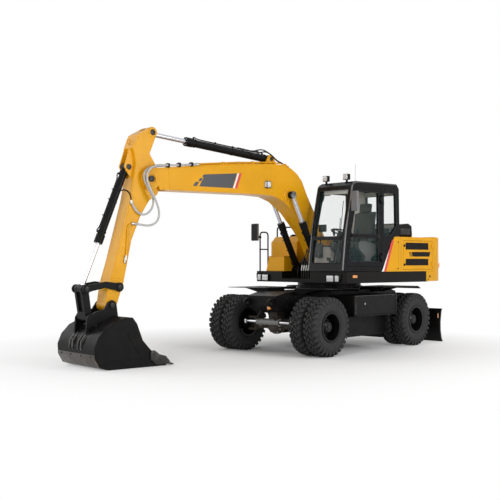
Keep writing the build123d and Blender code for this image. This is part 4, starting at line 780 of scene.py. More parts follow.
# Short hoses, pipes and handles that ride on one body: name, finish, body, radius, points
PIPES = [
    (
        "hump_hose_inner", "hose", "boom", 0.012,
        [(2.15, 0.02, 3.728), (1.98, 0.024, 3.716), (1.88, 0.03, 3.75), (1.77, 0.034, 3.768),
         (1.64, 0.05, 3.73), (1.54, 0.09, 3.64), (1.47, 0.13, 3.56), (1.4, 0.15, 3.528)],
    ),
    (
        "hump_hose_outer", "hose", "boom", 0.012,
        [(2.06, 0.08, 3.655), (1.96, 0.09, 3.66), (1.86, 0.1, 3.7), (1.75, 0.105, 3.725),
         (1.62, 0.11, 3.685), (1.53, 0.125, 3.61), (1.46, 0.15, 3.555), (1.38, 0.178, 3.524)],
    ),
    (
        "barrel_pipe", "hose", "boom", 0.011,
        [(2.36, 0.026, 3.752), (2.28, 0.036, 3.742), (2.15, 0.044, 3.726), (1.98, 0.048, 3.712),
         (1.88, 0.058, 3.722)],
    ),
    (
        "arm_side_pipe", "yellow", "arm", 0.012,
        [(4.7, 0.17, 2.3), (4.77, 0.163, 2.29), (4.795, 0.16, 2.2), (4.8, 0.16, 2.0),
         (4.822, 0.162, 1.775)],
    ),
    (
        "bucket_barrel_pipe", "dark", "arm", 0.011,
        [(4.73, 0.166, 2.69), (4.742, 0.172, 2.76), (4.79, 0.158, 2.83), (4.86, 0.112, 2.852),
         (4.9, 0.056, 2.82)],
    ),
    (
        "door_pull", "seal", "door", 0.009,
        [(0.01, 1.237, 1.9), (0.01, 1.262, 1.925), (0.01, 1.264, 2.0), (0.01, 1.262, 2.075),
         (0.01, 1.237, 2.1)],
    ),
    (
        "grab_handle", "seal", "upper", 0.011,
        [(0.64, 0.41, 2.8), (0.64, 0.455, 2.82), (0.618, 0.46, 2.89), (0.598, 0.455, 2.96),
         (0.598, 0.41, 2.98)],
    ),
]


def add_hoses():
    hanging_hose("hose_small_loop", SMALL_LOOP, "sleeve")
    hanging_hose("hose_large_loop", LARGE_LOOP, "sleeve")
    for name, finish, body, radius, points in PIPES:
        pipe(name, points, radius, finish, body)


# Pieces of plain blocks (two corners, bevel) and rods (two ends, radius, sides, bevel, end radius)
PLAIN_PIECES = [
    ("boom_lamp_housing", "black", "boom", [(1.745, 0.2, 3.035, 1.85, 0.262, 3.165, 0.01)], []),
    (
        "boom_lamp_lens", "clear", "boom",
        [(1.852, 0.206, 3.048, 1.858, 0.256, 3.152, 0.002),
         (1.757, 0.262, 3.048, 1.838, 0.266, 3.152, 0.002)],
        [],
    ),
    (
        "roof_lamp_lenses", "clear", "upper",
        [(0.564, 0.386, 3.216, 0.571, 0.494, 3.31, 0.003),
         (0.564, 0.916, 3.216, 0.571, 1.024, 3.31, 0.003)],
        [],
    ),
    (
        "roof_hatch", "cab", "upper",
        [(-0.4, 0.5, 3.1675, 0.18, 1.08, 3.185, 0.008),
         (-0.36, 0.54, 3.184, 0.14, 1.04, 3.192, 0.004),
         (-0.45, 0.7, 3.1675, -0.4, 0.76, 3.182, 0.004),
         (-0.45, 0.82, 3.1675, -0.4, 0.88, 3.182, 0.004)],
        [(-0.27, 0.45, 3.1675, -0.27, 0.45, 3.19, 0.016, 20, 0.002),
         (-0.27, 0.45, 3.19, -0.285, 0.45, 3.6, 0.003, 8, 0.0, 0.0018)],
    ),
    (
        "door_lock", "seal", "door",
        [(-0.1, 1.2355, 2.128, -0.02, 1.248, 2.176, 0.004),
         (-0.09, 1.248, 2.138, -0.03, 1.262, 2.15, 0.004)],
        [(-0.04, 1.248, 2.163, -0.04, 1.25, 2.163, 0.006, 16)],
    ),
    (
        "cab_boxes", "interior", "upper",
        [(-0.6, 0.41, 2.212, -0.45, 1.17, 2.33, 0.02), (0.64, 0.408, 1.75, 0.8, 0.47, 2.03, 0.02)],
        [],
    ),
    (
        "cab_fittings", "seal", "upper",
        [(0.69, 0.42, 2.24, 0.722, 0.61, 2.38, 0.012), (0.565, 0.43, 2.932, 0.588, 0.592, 2.996, 0.01)],
        [(0.71, 0.46, 2.0, 0.705, 0.48, 2.25, 0.01, 12),
         (0.57, 0.51, 2.99, 0.545, 0.51, 3.092, 0.007, 10)],
    ),
    ("blank_screen", "grey", "upper", [(0.6885, 0.432, 2.256, 0.6905, 0.598, 2.364, 0.0005)], []),
    (
        "roller_blind", "pale", "upper",
        [(0.5985, 0.455, 2.955, 0.601, 1.125, 3.045, 0.001)],
        [(0.572, 0.44, 3.05, 0.572, 1.14, 3.05, 0.022, 24, 0.004),
         (0.6, 0.45, 2.952, 0.6, 1.13, 2.952, 0.007, 12)],
    ),
    (
        "lifting_plugs", "black", "upper",
        [],
        [(-1.86, 0.55, 2.15, -1.86, 0.55, 2.18, 0.045, 24, 0.006),
         (-1.86, 0.55, 2.175, -1.86, 0.55, 2.186, 0.026, 6),
         (-1.86, -0.55, 2.15, -1.86, -0.55, 2.18, 0.045, 24, 0.006),
         (-1.86, -0.55, 2.175, -1.86, -0.55, 2.186, 0.026, 6)],
    ),
    ("frame_lamps", "amber", "chassis", [(2.06, 0.15, 0.82, 2.078, 0.226, 0.872, 0.006)], []),
    (
        "mirror_heads", "shell", "upper",
        [(0.9, -1.2795, 2.1, 0.9445, -1.088, 2.45, 0.02),
         (0.728, 1.312, 2.6, 0.784, 1.462, 2.965, 0.02)],
        [],
    ),
    (
        "mirror_glass", "mirror", "upper",
        [(0.8975, -1.266, 2.116, 0.8995, -1.102, 2.434, 0.0008),
         (0.7255, 1.326, 2.616, 0.7275, 1.448, 2.949, 0.0008)],
        [],
    ),
]


def add_plain_pieces():
    for name, finish, body, blocks, rods in PLAIN_PIECES:
        shape = Shape()
        for row in blocks:
            shape.block(row[:3], row[3:6], row[6])
        for row in rods:
            shape.rod(row[:3], row[3:6], *row[6:])
        shape.done(name, finish, body)


# Left side of the upper structure: body side faces
HOUSE_SIDE = 1.245
STRIPES = [
    (
        "white_stripe", "white",
        [(-0.148, 1.492), (-0.205, 1.492), (-0.402, 2.022), (-0.361, 1.912)],
    ),
    (
        "red_stripe", "red",
        [(-0.207, 1.492), (-0.272, 1.492), (-0.495, 2.07), (-0.45, 2.105), (-0.404, 2.022)],
    ),
]
LOUVRES = [(1.605, 1.735), (1.915, 2.05)]
LOUVRE_SPAN = (-1.55, -0.85)
STRIP_OUTLINES = [
    [(-1.06, 1.778), (-1.026, 1.869), (-1.618, 1.872), (-1.59, 1.78)],
    [(-0.985, 1.777), (-0.95, 1.868), (-0.968, 1.868), (-1.003, 1.777)],
    [(-1.018, 1.777), (-0.983, 1.868), (-1.006, 1.868), (-1.041, 1.777)],
]
BORDER = 0.01
SLATS = 9


def add_stripes():
    for name, finish, outline in STRIPES:
        shape = Shape()
        shape.prism(outline, HOUSE_SIDE, HOUSE_SIDE + THIN, bevel=0)
        shape.done(name, finish, "upper")


def add_louvre(name, side, z0, z1, body):
    """A dark field with a border and slanting slats."""
    x0, x1 = LOUVRE_SPAN
    shape = Shape()
    back, face, rim = (side * (HOUSE_SIDE + rise) for rise in (-0.003, 0.001, 0.004))
    y0, y1 = sorted((back, face))
    shape.block((x0 + 0.004, y0, z0 + 0.004), (x1 - 0.004, y1, z1 - 0.004), bevel=0)
    y0, y1 = sorted((back, rim))
    for left, right, low, high in (
        (x0, x1, z0, z0 + BORDER),
        (x0, x1, z1 - BORDER, z1),
        (x0, x0 + BORDER, z0, z1),
        (x1 - BORDER, x1, z0, z1),
    ):
        shape.block((left, y0, low), (right, y1, high))
    for index in range(SLATS):
        z = z0 + BORDER + (z1 - z0 - 2 * BORDER) * (index + 0.5) / SLATS
        slat = [(face, z - 0.005), (face + side * 0.004, z - 0.004), (face, z + 0.004)]
        shape.prism(slat, x0 + BORDER, x1 - BORDER, axis="X", bevel=0)
    shape.done(name, "black", body, "black_paint")


def add_louvres():
    """Slatted grilles in the side doors, with a blank strip between them, and latches."""
    for side, word in SIDES:
        body = "service_door_" + word
        for level, (z0, z1) in enumerate(LOUVRES):
            add_louvre(f"louvre_{word}_{level}", side, z0, z1, body)
        strip = Shape()
        near, far = sorted((side * HOUSE_SIDE, side * (HOUSE_SIDE + THIN)))
        for outline in STRIP_OUTLINES:
            strip.prism(outline, near, far, bevel=0)
        strip.done("blank_strip_" + word, "black", body)
        latch = Shape()
        foot, rim, lock = (side * (HOUSE_SIDE + rise) for rise in (0, 0.006, 0.01))
        for z in (1.62, 1.99):
            latch.rod((-0.812, foot, z), (-0.812, rim, z), 0.026, 28, bevel=0.002)
            latch.rod((-0.812, rim - side * 0.001, z), (-0.812, lock, z), 0.012, bevel=0.001)
        latch.done("door_latches_" + word, "black", body)
    corner = Shape()
    for x, z in ((-0.627, 2.053), (-0.616, 1.544)):
        corner.rod((x, HOUSE_SIDE, z), (x, HOUSE_SIDE + 0.005, z), 0.015, 24, bevel=0.0015)
    corner.done("corner_latches", "black", "upper")


# Lamps in the deck's front: Y and Z of the lens corners
DECK_FRONT = 0.875
FRONT_LENSES = [
    (0.818, 0.985, 1.311, 1.42),
    (1.03, 1.118, 1.313, 1.42),
    (-0.985, -0.818, 1.311, 1.42),
    (-1.118, -1.03, 1.313, 1.42),
]
LAMP_DEPTH = 0.036


def add_deck_lamps():
    frame, lenses, amber = Shape(), Shape(), Shape()
    front = DECK_FRONT + LAMP_DEPTH
    for y0, y1, z0, z1 in FRONT_LENSES:
        low = (DECK_FRONT + 0.0005, y0 - 0.012, z0 - 0.012)
        frame.block(low, (front, y1 + 0.012, z1 + 0.012), bevel=0.005)
        lenses.block((front - 0.004, y0, z0), (front + 0.005, y1, z1), bevel=0.004)
    amber.pair((0.55, 1.2452, 1.378), (0.67, 1.256, 1.43), bevel=0.005)
    frame.done("front_lamp_frames", "black", "upper")
    lenses.done("front_lamp_lenses", "clear", "upper")
    amber.done("side_lamps", "amber", "upper")


# Hydraulic cylinders: name, body, foot, rod's eye, barrel length, radius, side of the ports
BARRELS = [
    ("arm", "boom", (1.6, 0.0, 3.6), (4.3, 0.0, 3.83), 1.93, 0.068, 1),
    ("bucket", "arm", (4.73, 0.0, 3.23), (5.55, 0.0, 1.25), 1.358, 0.06, 1),
    ("boom_left", "boom_barrels", (0.52, 0.3, 1.53), (1.25, 0.3, 2.93), 1.015, 0.06, -1),
    ("boom_right", "boom_barrels", (0.52, -0.3, 1.53), (1.25, -0.3, 2.93), 1.015, 0.06, -1),
]


def add_barrels():
    """Gland collars, bands, ports and the feed pipe of each cylinder."""
    for name, body, foot, eye, length, radius, face in BARRELS:
        foot, eye = Vector(foot), Vector(eye)
        ahead = (eye - foot).normalized()
        out = Vector((-ahead.z, 0, ahead.x)) * face

        def at(distance, rise=0.0, aside=0.0):
            return foot + ahead * distance + out * rise + Vector((0, aside, 0))

        trim = Shape()
        # Start and end along the barrel, height over it
        for start, end, proud in (
            (length - 0.15, length - 0.004, 0.013),
            (length - 0.215, length - 0.19, 0.008),
            (0.085, 0.12, 0.01),
            (0.45 * length, 0.45 * length + 0.025, 0.004),
        ):
            run, low, high = end - start, radius - 0.004, radius + proud
            ring = [(low, 0), (high, 0.003), (high, run - 0.003), (low, run)]
            trim.turned(ring, at(start), axis=ahead, segments=40)
        for spot in (0.15, length - 0.175):
            trim.rod(at(spot, radius - 0.012), at(spot, radius + 0.02), 0.021, 6, bevel=0.001)
            trim.rod(at(spot, radius + 0.018), at(spot, radius + 0.034), 0.015, 16, bevel=0.001)
        low, high, bar = radius - 0.004, radius + 0.03, radius + 0.026
        for spot in (0.32 * length, 0.45 * length, 0.66 * length):
            for aside in (-0.02, 0.02):
                trim.rod(at(spot, low, aside), at(spot, high, aside), 0.006, 6)
            trim.rod(at(spot, bar, -0.028), at(spot, bar, 0.028), 0.008, 12)
        trim.done(f"barrel_trim_{name}", "dark", body)
        bolts = Shape()
        for aside, rise in around(8, radius - 0.006, 0.2):
            spot = at(length - 0.004, rise, aside)
            bolts.rod(spot, spot + ahead * 0.01, 0.0075, 6, bevel=0.0008)
        bolts.done(f"gland_bolts_{name}", "bolt", body)
        # Distance along the barrel and height over it
        feed = [(0.15, 0.034), (0.185, 0.046), (0.23, 0.016)]
        feed += [(share * length, 0.014) for share in (0.25, 0.5, 0.75)]
        feed += [(length - 0.235, 0.016), (length - 0.205, 0.04), (length - 0.175, 0.034)]
        points = [at(spot, radius + rise) for spot, rise in feed]
        pipe(f"feed_pipe_{name}", points, 0.01, "dark", body)


# Rod's eye: name, body, X, Z, radius, middles across
ROD_EYES = [
    ("arm", "arm_rod", 4.3, 3.83, 0.0756, (0.0,)),
    ("bucket", "bucket_rod", 5.55, 1.25, 0.0648, (0.0,)),
    ("boom", "boom_rods", 1.25, 2.93, 0.0684, (0.3, -0.3)),
]


def add_rod_eyes():
    for name, body, x, z, radius, middles in ROD_EYES:
        shape = Shape()
        low, high = radius - 0.003, radius + 0.0015
        ring = [(low, -0.0475), (high, -0.046), (high, 0.046), (low, 0.0475)]
        for y in middles:
            shape.turned(ring, (x, y, z))
            shape.rod((x, y, z + radius - 0.002), (x, y, z + radius + 0.01), 0.006, 6)
        shape.done("rod_eye_" + name, "dark", body)


# Where the hoses end: body, then each fitting's start and reach
HOSE_ENDS = {
    "boom": [((3.445, 0.172, 3.356), (-0.06, 0, 0.007)), ((3.445, 0.216, 3.35), (-0.06, 0, 0.007))],
    "arm": [
        ((4.726, 0.168, 2.3), (-0.06, 0.004, -0.004)),
        ((4.73, 0.164, 2.68), (-0.006, 0, -0.06)),
        ((4.822, 0.163, 1.78), (0.026, 0, -0.125)),
    ],
}


def add_boom_details():
    """The cylinder bosses, the lifting ring, clamps and fittings on the hoses."""
    for side, word in SIDES:
        boss = Shape()
        ring = [(0.052, 0), (0.128, 0), (0.124, 0.014), (0.098, 0.02), (0.094, 0.034), (0.052, 0.034)]
        boss.turned(ring, (1.25, side * BOOM_SIDE, 2.93), (0, side, 0))
        boss.done("cylinder_boss_" + word, "yellow", "boom")
    lifting = Shape()
    circle = [(0.036 + across, along) for along, across in around(8, 0.008)]
    lifting.turned(circle, (4.672, 0.0, 3.655), segments=32)
    lifting.done("lifting_ring", "yellow", "arm")
    clamps = Shape()
    for x, z in ((3.54, 3.353), (3.8, 3.326), (4.03, 3.3)):
        clamps.block((x - 0.018, 0.153, z - 0.045), (x + 0.018, 0.246, z + 0.028), bevel=0.006)
        clamps.bolt((x, 0.197, z + 0.028), (0, 0, 1), size=0.008)
    clamps.done("hose_clamps", "black", "boom")
    for body, ends in HOSE_ENDS.items():
        fittings = Shape()
        for start, toward in ends:
            start, toward = Vector(start), Vector(toward)
            fittings.rod(start, start + toward, 0.019, 16, bevel=0.001)
            fittings.rod(start + 0.3 * toward, start + 0.7 * toward, 0.024, 6, bevel=0.001)
        fittings.done("hose_fittings_" + body, "bolt", body)


# The bucket's dress, outlines in the side view
WEAR_BAND = [
    (5.43, 0.01), (5.563, 0.056), (5.645, 0.1975), (5.648, 0.25),
    (5.64, 0.252), (5.633, 0.201), (5.555, 0.066), (5.428, 0.02),
]
SIDE_CUTTER = [
    (4.64, 0.12), (4.628, 0.262), (4.56, 0.262), (4.47, 0.196),
    (4.345, 0.16), (4.262, 0.07), (4.3, 0.024), (4.52, 0.03),
]
EAR_FIN = [
    (5.56, 0.56), (5.655, 0.44), (5.668, 0.33), (5.648, 0.3), (5.64, 0.33), (5.56, 0.5),
]
EAR_WELD = [(5.39, 0.682), (5.58, 0.522), (5.625, 0.43)]
CUTTER_FACE = 0.608


def add_bucket_details():
    """Wear band, bolts, side cutters, welds and tooth pins."""
    band, bolts, cutters, fins, pins = (Shape() for _ in range(5))
    band.prism(WEAR_BAND, -0.574, 0.574, bevel=0.0015)
    for y in (-0.46, -0.16, 0.16, 0.46):
        bolts.bolt((5.646, y, 0.218), (1, 0, 0), size=0.01)
    for side, _ in SIDES:
        near, far = sorted((side * 0.5805, side * CUTTER_FACE))
        cutters.prism(SIDE_CUTTER, near, far, bevel=0.004)
        for x, z in ((4.58, 0.09), (4.58, 0.2), (4.44, 0.105)):
            bolts.bolt((x, side * CUTTER_FACE, z), (0, side, 0), size=0.013)
    for index, y in enumerate((0.157, 0.197, -0.157, -0.197)):
        line = [(x, y, z) for x, z in EAR_WELD]
        pipe(f"ear_weld_{index}", line, 0.006, "worn", "bucket", straight=True)
    for y in (0.177, -0.177, 0.085, -0.085):
        fins.prism(EAR_FIN, y - 0.012, y + 0.012, bevel=0.003)
    for index in range(5):
        y = -0.52 + index * 0.26
        pins.rod((4.392, y - 0.0395, 0.062), (4.392, y + 0.0395, 0.062), 0.011, 16)
        pins.block((4.425, y - 0.03, 0.1), (4.47, y + 0.03, 0.106), bevel=0.002)
    band.done("wear_band", "scuffed", "bucket")
    cutters.done("side_cutters", "forged", "bucket")
    bolts.done("bucket_bolts", "nut", "bucket")
    fins.done("ear_fins", "worn", "bucket")
    pins.done("tooth_pins", "steel", "bucket")


# The cab's front face in the side view, outside, X and Z
CAB_FACE = [(0.925, 1.5), (0.905, 1.68), (0.83, 2.3), (0.665, 3.09)]
CAB_SIDE_Y = 1.235
CAB_RIGHT_Y = 0.345
CAB_INSIDE_Y = (0.4, 1.18)
CAB_MIDDLE = 0.79


def front_x(z):
    """X of the cab's front face at a height."""
    runs = list(zip(CAB_FACE, CAB_FACE[1:]))
    (x0, z0), (x1, z1) = next((run for run in runs if z <= run[1][1]), runs[-1])
    return x0 + (x1 - x0) * (z - z0) / (z1 - z0)


def rounded(corners, radius, steps=4):
    """A closed outline with round corners, as points in a plane."""
    points = []
    count = len(corners)
    for index in range(count):
        here = Vector(corners[index])
        before = (Vector(corners[index - 1]) - here).normalized()
        after = (Vector(corners[(index + 1) % count]) - here).normalized()
        start, end = here + before * radius, here + after * radius
        for step in range(steps + 1):
            t = step / steps
            points.append(tuple((1 - t) ** 2 * start + 2 * t * (1 - t) * here + t * t * end))
    return points


def bead(name, points, radius, body):
    """A closed rubber bead along a loop of points."""
    curve = tube(name, points, place_of(body), radius, resolution=2, kind="POLY")
    curve.splines[0].use_cyclic_u = True
    return settle(put(name, curve), "seal", body)


WINDSCREENS = [(0.415, 1.165, 2.14, 3.02), (0.415, 1.165, 1.65, 2.09)]
DOOR_PANES = [
    [(-0.06, 2.19), (-0.06, 2.98), (0.515, 2.98), (0.69, 2.26), (0.695, 2.19)],
    [(-0.06, 1.68), (-0.06, 2.12), (0.705, 2.12), (0.75, 1.74), (0.735, 1.68)],
]
REAR_PANE = [(-0.21, 2.17), (-0.21, 2.985), (-0.56, 2.985), (-0.575, 2.35), (-0.4, 2.17)]
RIGHT_PANE = [(-0.12, 1.98), (-0.12, 2.985), (0.545, 2.985), (0.73, 2.26), (0.75, 1.98)]
DOOR_GASKET = [
    (-0.134, 1.59), (-0.134, 3.05), (0.56, 3.05), (0.745, 2.29), (0.815, 1.66), (0.79, 1.59),
]
# Seals in side faces: name, outline, Y, bead radius, body
SIDE_SEALS = [
    ("door_seal_0", DOOR_PANES[0], 1.236, 0.007, "door"),
    ("door_seal_1", DOOR_PANES[1], 1.236, 0.007, "door"),
    ("rear_seal", REAR_PANE, 1.236, 0.007, "upper"),
    ("right_seal", RIGHT_PANE, 0.344, 0.007, "upper"),
    ("door_gasket", DOOR_GASKET, 1.215, 0.0045, "upper"),
]


def add_windscreen(index, y0, y1, z0, z1):
    """The seal round a front pane and the dark fillers in its corners."""
    loop = rounded([(y0, z0), (y1, z0), (y1, z1), (y0, z1)], 0.045)
    bead(f"screen_seal_{index}", [(front_x(z) + 0.001, y, z) for y, z in loop], 0.009, "upper")
    filler = Shape()
    for y, z, dy, dz in ((y0, z0, 1, 1), (y1, z0, -1, 1), (y1, z1, -1, -1), (y0, z1, 1, -1)):
        offsets = ((-0.006, -0.006), (0.04, -0.006), (0.012, 0.012), (-0.006, 0.04))
        x = front_x(z)
        corner = [(y + a * dy, z + b * dz) for a, b in offsets]
        filler.prism(corner, x - 0.034, x - 0.012, axis="X", bevel=0)
    filler.done(f"screen_corners_{index}", "seal", "upper")


def add_cab_outside():
    """Window seals, corner trims and the wiper."""
    for index, screen in enumerate(WINDSCREENS):
        add_windscreen(index, *screen)
    for name, outline, y, radius, body in SIDE_SEALS:
        bead(name, [(x, y, z) for x, z in rounded(outline, 0.02)], radius, body)
    for y, word in ((CAB_SIDE_Y - 0.008, "left"), (CAB_RIGHT_Y + 0.008, "right")):
        corner = [(front_x(z) - 0.008, z) for z in (1.52, 1.68, 2.0, 2.3, 2.7, 3.06)]
        corner += [(0.64, 3.11), (0.56, 3.152), (0.3, 3.16), (-0.56, 3.16)]
        pipe("corner_trim_" + word, [(x, y, z) for x, z in corner], 0.0155, "trim", "upper")
    wiper = Shape()
    # Start and end as distance from the face, Y and Z; radius, sides, bevel
    for (x0, y0, z0), (x1, y1, z1), *form in (
        ((-0.016, 1.105, 2.112), (0.026, 1.105, 2.112), 0.016, 20, 0.002),
        ((0.02, 1.105, 2.112), (0.03, 1.085, 2.48), 0.007, 8),
        ((0.01, 1.112, 2.2), (0.01, 1.08, 2.8), 0.006, 8),
        ((0.004, 1.112, 2.2), (0.004, 1.08, 2.8), 0.003, 4),
    ):
        wiper.rod((front_x(z0) + x0, y0, z0), (front_x(z1) + x1, y1, z1), *form)
    wiper.done("wiper", "seal", "upper")


# Inside the cab: outlines in the side view
FLOOR_Z = 1.5702
LINING = [
    [(-0.115, 1.575), (0.822, 1.575), (0.812, 1.7), (0.79, 1.96), (-0.335, 1.96)],
    [(-0.335, 1.96), (-0.14, 1.96), (-0.14, 3.095), (-0.555, 3.095), (-0.6, 3.045),
     (-0.616, 2.21), (-0.47, 2.21)],
    [(-0.14, 3.0), (0.56, 3.0), (0.545, 3.095), (-0.14, 3.095)],
]
CONSOLE = [
    (-0.2, 1.98), (-0.2, 1.86), (0.06, 1.76), (0.06, FLOOR_Z), (0.23, FLOOR_Z),
    (0.23, 1.8), (0.4, 1.92), (0.4, 2.04), (0.3, 2.075), (-0.15, 2.01),
]
# A lever's bellows, radius and height
BOOT = [
    (0.014, 0.08), (0.018, 0.07), (0.03, 0.06), (0.026, 0.05), (0.04, 0.038), (0.036, 0.028),
    (0.05, 0.01), (0.05, 0.0), (0.0, 0.0), (0.0, 0.08),
]


def add_cab_room():
    """Lining, floor mat, consoles with levers and pedals."""
    y0, y1 = CAB_INSIDE_Y
    walls = Shape()
    for outline in LINING:
        walls.prism(outline, y0 + 0.0002, y0 + 0.006)
    sill = [(-0.33, 1.96), (-0.15, 1.96), (-0.15, 2.15), (-0.435, 2.15)]
    walls.prism(sill, y1 - 0.006, y1 - 0.0002)
    for low, high in (
        ((-0.615, y0, 2.215), (-0.606, y1, 2.405)),
        ((-0.6, y0, 2.97), (-0.59, y1, 3.05)),
        ((-0.615, y0, 2.405), (-0.602, 0.42, 2.975)),
        ((-0.615, 1.16, 2.405), (-0.602, y1, 2.975)),
        ((-0.55, y0 + 0.001, 3.092), (0.53, y1 - 0.001, 3.1045)),
    ):
        walls.block(low, high, bevel=0.002)
    walls.done("cab_lining", "lining", "upper")
    mat = Shape()
    mat.block((-0.1, y0 + 0.01, FLOOR_Z), (0.78, y1 - 0.01, 1.58), bevel=0.002)
    for index in range(26):
        y = y0 + 0.04 + index * 0.0275
        mat.block((0.34, y, 1.5795), (0.77, y + 0.012, 1.583), bevel=0)
    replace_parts(mat.done("floor_mat", "seal", "upper"), "cab_interior")
    consoles, levers = Shape(), Shape()
    for side, _ in SIDES:
        middle = CAB_MIDDLE + side * 0.315
        consoles.prism(CONSOLE, middle - 0.052, middle + 0.052, bevel=0.012)
        consoles.block((-0.23, middle - 0.045, 2.07), (0.13, middle + 0.045, 2.13), bevel=0.022)
        consoles.rod((-0.15, middle, 1.98), (-0.15, middle, 2.08), 0.018, 16)
        for index in range(5):
            x = 0.18 + 0.03 * index
            consoles.block((x, middle - 0.03, 2.04), (x + 0.018, middle + 0.03, 2.066))
        levers.turned(BOOT, (0.34, middle, 2.06), (0, 0, 1), segments=24)
        # Start and end as X and Z; radius, sides, bevel, end radius
        for (xa, za), (xb, zb), *form in (
            ((0.34, 2.12), (0.352, 2.19), 0.008, 12),
            ((0.35, 2.18), (0.362, 2.3), 0.021, 20, 0.008, 0.027),
            ((0.352, 2.3), (0.356, 2.312), 0.008, 12, 0.001),
        ):
            levers.rod((xa, middle, za), (xb, middle, zb), *form)
        pedal = CAB_MIDDLE + side * 0.14
        for rise in (0.0, 0.055):
            low = (0.61 + rise, pedal - 0.045, 1.64 + rise)
            levers.block(low, (0.64 + rise, pedal + 0.045, 1.7 + rise), bevel=0.006)
        levers.rod((0.68, pedal, 1.58), (0.65, pedal, 1.66), 0.012, 12)
    consoles.done("consoles", "interior", "upper")
    levers.done("levers", "seal", "upper")


def add_steering_wheel():
    """The column, and the rim with three spokes and a knob on a tilted hub."""
    column = Shape()
    foot, knee, top = ((x, CAB_MIDDLE, z) for x, z in ((0.66, FLOOR_Z), (0.56, 2.06), (0.52, 2.215)))
    column.rod(foot, knee, 0.052, 24, bevel=0.006, end_radius=0.038)
    column.rod(knee, top, 0.06, 24, bevel=0.012, end_radius=0.05)
    hub = Vector((0.512, CAB_MIDDLE, 2.24))
    tilt = Vector((-0.3, 0, 1)).normalized()
    left = Vector((0, 1, 0))
    grip = [(0.17 + across, along) for along, across in around(10, 0.014)]
    column.turned(grip, hub, axis=tilt)
    column.rod(hub - 0.025 * tilt, hub + 0.01 * tilt, 0.048, 24, bevel=0.008)
    across = tilt.cross(left).normalized()
    for turn in (0.5, 2.64, 4.71):
        way = math.cos(turn) * left + math.sin(turn) * across
        column.rod(hub, hub + 0.165 * way, 0.012, 12)
    knob = hub + 0.15 * across
    column.rod(knob, knob + 0.055 * tilt, 0.02, bevel=0.008)
    column.done("steering_wheel", "seal", "upper")


# Seat: padded covers on a sprung base; the block that each pad starts from
PADS = [
    # Name, low corner, high corner, lean in degrees, pivot
    ("seat_cushion", (-0.09, 0.545, 1.912), (0.405, 1.035, 2.0), -4.0, (-0.09, 0.79, 1.91)),
    ("seat_back", (-0.135, 0.56, 2.01), (-0.035, 1.02, 2.62), -9.0, (-0.09, 0.79, 2.0)),
    ("head_rest", (-0.235, 0.655, 2.64), (-0.15, 0.925, 2.8), -9.0, (-0.19, 0.79, 2.64)),
]


def add_seat():
    base = Shape()
    base.block((-0.08, 0.6, FLOOR_Z), (0.34, 0.98, 1.61), bevel=0.008)
    for fold in range(7):
        z = 1.612 + 0.03 * fold
        inset = 0.018 if fold % 2 else 0.0
        low = (-0.06 + inset, 0.62 + inset, z)
        base.block(low, (0.32 - inset, 0.96 - inset, z + 0.029), bevel=0.012)
    base.block((-0.11, 0.56, 1.822), (0.39, 1.02, 1.875), bevel=0.018)
    base.block((-0.1, 0.555, 1.872), (0.4, 1.025, 1.908), bevel=0.012)
    shell = [
        (-0.165, 1.93), (-0.125, 1.91), (-0.125, 2.0), (-0.225, 2.64), (-0.265, 2.64),
        (-0.262, 2.56),
    ]
    base.prism(shell, 0.575, 1.005, bevel=0.012)
    for y in (0.735, 0.845):
        base.rod((-0.205, y, 2.56), (-0.225, y, 2.68), 0.007, 12)
    base.done("seat_base", "seal", "upper")
    for row in PADS:
        padded_block(*row)


CLOTH_FRAMES = 12


def padded_block(name, low, high, lean, pivot):
    """A sewn cover blown up a little over its filling, so that it bulges between its seams."""
    shape = Shape()
    shape.block(low, high, bevel=0.022)
    turn = Matrix.Rotation(math.radians(lean), 4, "Y")
    middle = Matrix.Translation(pivot)
    pad = put(name, shape.data(name))
    pad.data.transform(UPPER @ middle @ turn @ middle.inverted())
    remesh = pad.modifiers.new("remesh", "REMESH")
    remesh.mode = "VOXEL"
    remesh.voxel_size = 0.007
    scene = bpy.context.scene
    cloth = pad.modifiers.new("cloth", "CLOTH")
    cloth.settings.use_pressure = True
    cloth.settings.uniform_pressure_force = 3.0
    cloth.settings.effector_weights.gravity = 0
    cloth.settings.tension_stiffness = 40
    cloth.settings.compression_stiffness = 40
    cloth.point_cache.frame_start = 1
    cloth.point_cache.frame_end = CLOTH_FRAMES
    for frame in range(1, CLOTH_FRAMES + 1):
        scene.frame_set(frame)
        bpy.context.view_layer.update()
    graph = bpy.context.evaluated_depsgraph_get()
    grown = bpy.data.meshes.new_from_object(pad.evaluated_get(graph))
    pad.modifiers.clear()
    pad.data = grown
    scene.frame_set(1)
    grown.shade_smooth()
    grown.materials.clear()
    grown.materials.append(FINISH["seat"])
    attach(pad, "upper")
    return pad


PANEL_SEAMS = [
    ("upper", HOUSE_SIDE - 0.0015, [(-0.707, 1.493), (-0.707, 2.158)]),
    ("upper", HOUSE_SIDE - 0.0015, [(-0.64, 1.493), (-0.64, 2.12)]),
]
# A tail lamp's section about the slew axis, radius and Z
TAIL_LAMP = [(2.25, 1.56), (2.2925, 1.56), (2.2925, 1.655), (2.25, 1.655)]


